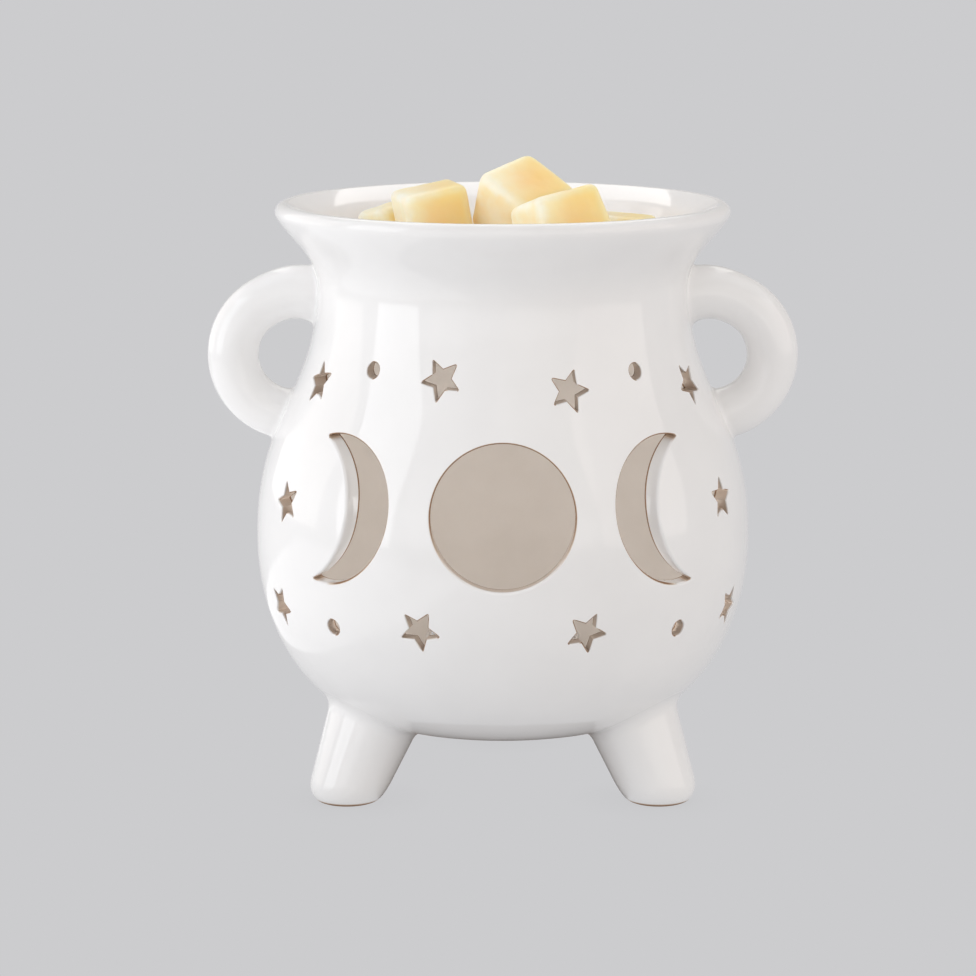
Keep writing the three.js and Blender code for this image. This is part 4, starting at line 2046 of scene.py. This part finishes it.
@dataclass
class Tealight:
    """A standard tealight on the pot's floor: drawn cup, wax, wick and the wick's tin foot."""

    profile: PotProfile
    rest_gap: float = 0.3
    radius: float = 19.0
    height: float = 15.0
    sheet: float = 0.45
    cup_base: tuple[Point, ...] = ((0, 0.35), (11, 0.35), (11.8, 0.0), (16.2, 0.0), (17.0, 0.3))
    cup_heel: Point = (18.5, 0.3)
    cup_side: tuple[Point, ...] = ((18.6, 2.0), (18.6, 4.0), (18.65, 8.0), (18.7, 12.6), (18.72, 13.6))
    cup_curl: float = 0.62
    curl_start: float = -30.0
    curl_end: float = 200.0
    candle_drop: float = 2.0
    gap: float = 0.15
    cup_floor: float = 0.6
    foot_radius: float = 7.0
    foot_plate: float = 0.8
    collar_radius: float = 1.7
    collar: float = 3.2
    wick_radius: float = 0.9
    wick_stand: float = 6.5
    wick_columns: int = 36
    wick_levels: int = 90
    wick_turns: float = 7.0
    strands: int = 3
    strand_depth: float = 0.22
    foot_spokes: int = 48
    spokes: int = 96

    @property
    def floor(self) -> float:
        """Height that the cup stands at."""
        return self.profile.floor_z + self.rest_gap

    @property
    def plate(self) -> float:
        """Underside of the wick's foot and the wax, above the cup's stand."""
        return self.cup_floor + self.gap

    def raised(self, profile: Sequence[Point]) -> list[Point]:
        """A profile moved up to where the tealight stands."""
        return [(radius, height + self.floor) for radius, height in profile]

    def cup(self) -> Piece:
        """The drawn cup with its stepped base and curled rim.

        Returns:
            The cup, in millimetres.
        """
        inner, floor = self.radius - self.sheet, self.cup_floor
        heel = softened(self.cup_base[-1], self.cup_heel, self.cup_side[0], 6)
        centre = (self.radius - self.cup_curl, self.height - self.cup_curl)
        curl = arc(centre, self.cup_curl, self.curl_start, self.curl_end, 14)
        inside = [(inner - 0.5, 13.4), (inner - 0.45, 8.0), (inner - 0.45, 2.4)]
        bend = softened(inside[-1], (inner - 0.5, floor), (16.6, floor), 6)
        outside = [*self.cup_base, *heel[1:], *self.cup_side[1:]]
        profile = [*outside, *curl, *inside, *bend[1:], (0, floor)]
        return lathe("cup_blank", self.raised(profile), self.spokes)

    def wax(self) -> Piece:
        """The candle's wax, drawn up at the cup's wall and at the wick.

        Returns:
            The wax, in millimetres.
        """
        edge = self.radius - self.sheet - 0.65
        top = self.height - self.candle_drop
        hole = self.wick_radius + self.gap
        collar = self.plate + self.collar + self.gap
        low = self.plate + 1.6
        profile = [
            (self.foot_radius + self.gap, self.plate),
            (edge - 1.8, self.plate),
            *softened((edge - 1.8, self.plate), (edge, self.plate), (edge, low), 5)[1:],
            (edge, top - 1.0),
            *softened((edge, top + 0.35), (edge - 0.5, top - 0.35), (edge - 3.0, top - 0.4), 6),
            (12.0, top - 0.55),
            (8.0, top - 0.7),
            (4.5, top - 0.9),
            (2.6, top - 1.0),
            *softened((2.2, top - 1.0), (1.3, top - 1.0), (hole, top - 0.3), 5),
            (hole, collar),
            (self.collar_radius + self.gap, collar),
            (self.collar_radius + self.gap, self.plate + self.foot_plate + self.gap),
            (self.foot_radius + self.gap, self.plate + self.foot_plate + self.gap),
            (self.foot_radius + self.gap, self.plate),
        ]
        return lathe("candle_blank", self.raised(profile), self.spokes)

    def foot(self) -> Piece:
        """The pressed tin foot with its crimped collar.

        Returns:
            The foot, in millimetres.
        """
        hole = self.wick_radius + self.gap
        plate, collar = self.plate, self.plate + self.collar
        profile = [
            (hole, plate),
            (self.foot_radius, plate),
            (self.foot_radius, plate + 0.35),
            (self.foot_radius - 0.6, plate + 0.5),
            (self.collar_radius + 0.9, plate + self.foot_plate * 0.8),
            (self.collar_radius, plate + 1.5),
            (self.collar_radius, collar - 0.3),
            (self.collar_radius - 0.25, collar),
            (hole, collar),
            (hole, plate),
        ]
        return lathe("wick_foot_blank", self.raised(profile), self.foot_spokes)

    def _braid(self, angle: np.ndarray, share: np.ndarray | float) -> np.ndarray:
        """How far the wick's strands stand out, from 0 to 1, at an angle and a share of its height."""
        wound = self.wick_turns * math.tau * share / self.strands
        return np.abs(np.cos(self.strands / 2 * (angle - wound)))

    def wick(self) -> Piece:
        """The braided wick: three strands wound round one another.

        Returns:
            The wick, in millimetres.
        """
        low = self.floor + self.plate
        high = self.floor + self.height - self.candle_drop + self.wick_stand
        angle = np.linspace(0, math.tau, self.wick_columns, endpoint=False)
        rows = []
        for share in np.linspace(0, 1, self.wick_levels + 1):
            relief = 1 - self.strand_depth + self.strand_depth * self._braid(angle, share)
            radius = self.wick_radius * relief
            height = np.full_like(angle, low + share * (high - low))
            rows.append(np.column_stack([radius * np.cos(angle), radius * np.sin(angle), height]))
        ends = [rows[0] * (0, 0, 1), *rows, rows[-1] * (0, 0, 1)]
        obj = roll_up("wick_blank", np.array(ends))
        places = points_of(obj)
        around = np.arctan2(places[:, 1], places[:, 0])
        write_points(obj, "braid", self._braid(around, (places[:, 2] - low) / (high - low)))
        return obj

    def dress(self, foil: Material, wax: Material, tin: Material, cotton: Material) -> None:
        """Build the four pieces and hand them to the frame.

        Args:
            foil: Finish of the cup.
            wax: Finish of the wax.
            tin: Finish of the wick's foot.
            cotton: Finish of the wick.
        """
        finish_piece(self.cup(), "tealight_cup", "tealight", [foil], 50.0)
        finish_piece(self.wax(), "tealight_wax", "tealight", [wax], 50.0)
        finish_piece(self.foot(), "wick_sustainer", "tealight", [tin], 40.0)
        finish_piece(self.wick(), "tealight_wick", "tealight", [cotton], 60.0)


# Studio


def hang_light(
    name: str,
    place: Sequence[float],
    turn: Sequence[float],
    size: Point,
    watts: float,
    colour: Colour,
    shape: str,
) -> None:
    """Put an area light in the scene that the camera doesn't see.

    Args:
        name: Name of the light.
        place: Its place in metres.
        turn: Its turn about X, Y and Z in radians.
        size: Its width and height in metres.
        watts: Its power.
        colour: Its colour.
        shape: Blender's name of its shape.
    """
    data = bpy.data.lights.new(name, "AREA")
    data.shape = shape
    data.size, data.size_y = size
    data.energy = watts
    data.color = colour
    light = bpy.data.objects.new(name, data)
    light.location = place
    light.rotation_euler = turn
    light.visible_camera = False
    bpy.context.scene.collection.objects.link(light)


@dataclass(frozen=True)
class Softbox:
    """A rectangular soft light that faces the pot."""

    name: str
    azimuth: float
    elevation: float
    distance: float
    width: float
    height: float
    radiance: float
    colour: Colour = WHITE
    aim: float = 0.075

    def hang(self) -> None:
        """Put the light in the scene."""
        turn, rise = math.radians(self.azimuth), math.radians(self.elevation)
        level = math.cos(rise)
        away = Vector((math.sin(turn) * level, -math.cos(turn) * level, math.sin(rise)))
        place = Vector((0, 0, self.aim)) + away * self.distance
        facing = (-away).to_track_quat("-Z", "Y").to_euler()
        watts = self.radiance * math.pi * self.width * self.height
        size = (self.width, self.height)
        hang_light(self.name, place, facing, size, watts, self.colour, "RECTANGLE")


@dataclass
class Studio:
    """Camera, pale floor, even backdrop and soft lights."""

    backdrop: Colour = (0.604, 0.604, 0.617)
    walls: Colour = (0.567, 0.55, 0.539)
    ceiling: Colour = (0.36, 0.35, 0.343)
    floor_rise: float = 0.02
    wall_rise: float = 0.1
    ceiling_rise: float = 0.5
    camera_place: Triple = (0.0, -0.8496, 0.22695)
    camera_pitch: float = 10.252
    lens: float = 129.25
    frame_pixels: float = 976.0
    axis_pixel: float = 502.8
    sensor: float = 36.0
    view_reach: float = 100.0
    floor_size: float = 24.0
    floor_drop: float = 0.00005
    shadow_reach: float = 0.012
    shadow_depth: float = 0.95
    card_radius: float = 0.038
    card_drop: float = 0.00002
    card_sides: int = 64
    card_colour: Colour = (0.3, 0.25, 0.22)
    bounce_place: Triple = (-0.34, -0.1, 0.003)
    bounce_size: float = 0.5
    bounce_radiance: float = 0.47
    glow_watts: float = 0.032
    glow_radius: float = 0.03
    glow_place: Triple = (0.0, -0.045, 0.062)
    softboxes: tuple[Softbox, ...] = (
        Softbox("back_left", -116, 19, 0.9, 0.8, 0.74, 0.842, (1.0, 0.944, 0.89)),
        Softbox("front_left", -66, 19, 0.9, 0.5, 0.74, 2.0, (0.95, 0.975, 1.0)),
        Softbox("front_left_fill", -22, 19, 0.9, 0.73, 0.74, 0.36, (1.0, 0.953, 0.985)),
        Softbox("front_right_fill", 22, 19, 0.9, 0.73, 0.74, 0.52, (1.0, 0.951, 0.853)),
        Softbox("front_right", 69, 19, 0.9, 0.82, 0.74, 0.95, (1.0, 0.899, 0.846)),
        Softbox("high_left", -90, 55, 1.3, 1.0, 1.0, 0.657, (0.85, 0.9, 1.0)),
        Softbox("high_right", 90, 55, 1.3, 1.0, 1.0, 0.558, (0.85, 0.93, 1.0)),
        Softbox("high_back", 180, 55, 1.3, 1.0, 1.0, 1.45, (1.0, 0.977, 0.953)),
        Softbox("low_front_left", -40, 5, 0.9, 0.6, 0.2, 0.356, (0.995, 0.976, 1.0)),
        Softbox("low_front", 15, 4, 0.9, 1.2, 0.15, 0.35),
    )

    def set_up(self) -> None:
        """Make the whole set."""
        self._camera()
        self._floor()
        self._card()
        self._world()
        for softbox in self.softboxes:
            softbox.hang()
        self._bounce()
        self._glow()
        bpy.context.scene.view_settings.view_transform = "Standard"

    def _camera(self) -> None:
        """A long lens in front of the pot, a little above it."""
        data = bpy.data.cameras.new("camera")
        data.sensor_width = self.sensor
        data.lens = self.lens
        data.shift_x = (self.frame_pixels / 2 - self.axis_pixel) / self.frame_pixels
        data.clip_end = self.view_reach
        camera = bpy.data.objects.new("camera", data)
        camera.location = self.camera_place
        camera.rotation_euler = (math.radians(90 - self.camera_pitch), 0, 0)
        bpy.context.scene.collection.objects.link(camera)
        bpy.context.scene.camera = camera

    def _floor(self) -> None:
        """A pale floor as even as the backdrop, with a faint contact shadow."""
        deselect()
        bpy.ops.mesh.primitive_plane_add(size=self.floor_size, location=(0, 0, -self.floor_drop))
        floor = bpy.context.object
        floor.name = "floor"
        material = bpy.data.materials.new("pale_floor")
        material.use_nodes = True
        tree = material.node_tree
        tree.nodes.clear()
        shade = tree.nodes.new("ShaderNodeAmbientOcclusion")
        shade.inputs["Distance"].default_value = self.shadow_reach
        ramp = tree.nodes.new("ShaderNodeValToRGB")
        dark, pale = ramp.color_ramp.elements
        dark.color = (*(c * self.shadow_depth for c in self.backdrop), 1.0)
        pale.color = (*self.backdrop, 1.0)
        glow = tree.nodes.new("ShaderNodeEmission")
        output = tree.nodes.new("ShaderNodeOutputMaterial")
        tree.links.new(shade.outputs["AO"], ramp.inputs["Fac"])
        tree.links.new(ramp.outputs["Color"], glow.inputs["Color"])
        tree.links.new(glow.outputs["Emission"], output.inputs["Surface"])
        floor.data.materials.append(material)

    def _card(self) -> None:
        """A dark card on the floor under the pot, unseen itself, that keeps the underside in shade."""
        deselect()
        bpy.ops.mesh.primitive_circle_add(
            vertices=self.card_sides,
            radius=self.card_radius,
            fill_type="NGON",
            location=(0, 0, -self.card_drop),
        )
        card = bpy.context.object
        card.name = "shade_card"
        card.visible_camera = False
        card.visible_shadow = False
        material = bpy.data.materials.new("shade_card")
        material.use_nodes = True
        shader = material.node_tree.nodes["Principled BSDF"]
        shader.inputs["Base Color"].default_value = (*self.card_colour, 1.0)
        shader.inputs["Roughness"].default_value = 1.0
        card.data.materials.append(material)

    def _world(self) -> None:
        """A pale surrounding, brightest just above the floor."""
        world = bpy.data.worlds.new("studio")
        world.use_nodes = True
        tree = world.node_tree
        place = tree.nodes.new("ShaderNodeTexCoord")
        split = tree.nodes.new("ShaderNodeSeparateXYZ")
        ramp = tree.nodes.new("ShaderNodeValToRGB")
        low, high = ramp.color_ramp.elements
        low.position, low.color = self.floor_rise, (*self.backdrop, 1.0)
        high.position, high.color = self.ceiling_rise, (*self.ceiling, 1.0)
        ramp.color_ramp.elements.new(self.wall_rise).color = (*self.walls, 1.0)
        tree.links.new(place.outputs["Generated"], split.inputs["Vector"])
        tree.links.new(split.outputs["Z"], ramp.inputs["Fac"])
        tree.links.new(ramp.outputs["Color"], tree.nodes["Background"].inputs["Color"])
        bpy.context.scene.world = world

    def _bounce(self) -> None:
        """Light that a bright table on the left throws up under the belly."""
        watts = self.bounce_radiance * math.pi * self.bounce_size**2
        size = (self.bounce_size, self.bounce_size)
        hang_light("table_bounce", self.bounce_place, (math.pi, 0, 0), size, watts, WHITE, "SQUARE")

    def _glow(self) -> None:
        """A fill light in the pot that faces the back, so that the clay shows through the cut-outs."""
        size = (2 * self.glow_radius, 2 * self.glow_radius)
        turn = (math.pi / 2, 0, 0)
        hang_light("inner_fill", self.glow_place, turn, size, self.glow_watts, WHITE, "DISK")


def main() -> None:
    """Build the set and every piece in order."""
    logging.basicConfig(level=logging.INFO, format="%(name)s: %(message)s")
    Studio().set_up()

    glaze = GlazeFinish().material()
    # The dish's glaze is the pot's white glaze made lighter: painted light on the upturned dish
    dish_glaze = GlazeFinish(
        name="dish_glaze", light=(0.955, 0.95, 0.945), deep=(0.94, 0.935, 0.93)
    ).material()
    clay = ClayFinish().material()
    melt_wax = MeltFinish().material()
    candle_wax = CandleFinish().material()
    foil = SheetMetalFinish(
        name="cup_foil", bright=(0.80, 0.80, 0.81), dull=(0.70, 0.70, 0.71), smoothest=0.22, dullest=0.34
    ).material()
    tin = SheetMetalFinish(
        name="tin",
        bright=(0.62, 0.63, 0.64),
        dull=(0.52, 0.53, 0.54),
        smoothest=0.3,
        dullest=0.42,
        stretch=(1, 1, 1),
    ).material()
    cotton = CottonFinish().material()

    profile = PotProfile()
    body = CauldronBody(profile)
    body.dress(body.build(), glaze, clay)
    handles = LoopHandles(profile)
    handles.dress(handles.build(), glaze)
    legs = SplayedLegs(profile)
    legs.dress(legs.build(), glaze)
    dish = OilDish(profile)
    dish.dress(dish.build(), dish_glaze)
    melts = WaxMelts(dish)
    for melt in melts.melts:
        melts.dress(melt, melts.build(melt), melt_wax)
    Tealight(profile).dress(foil, candle_wax, tin, cotton)


if __name__ == "__main__":
    main()
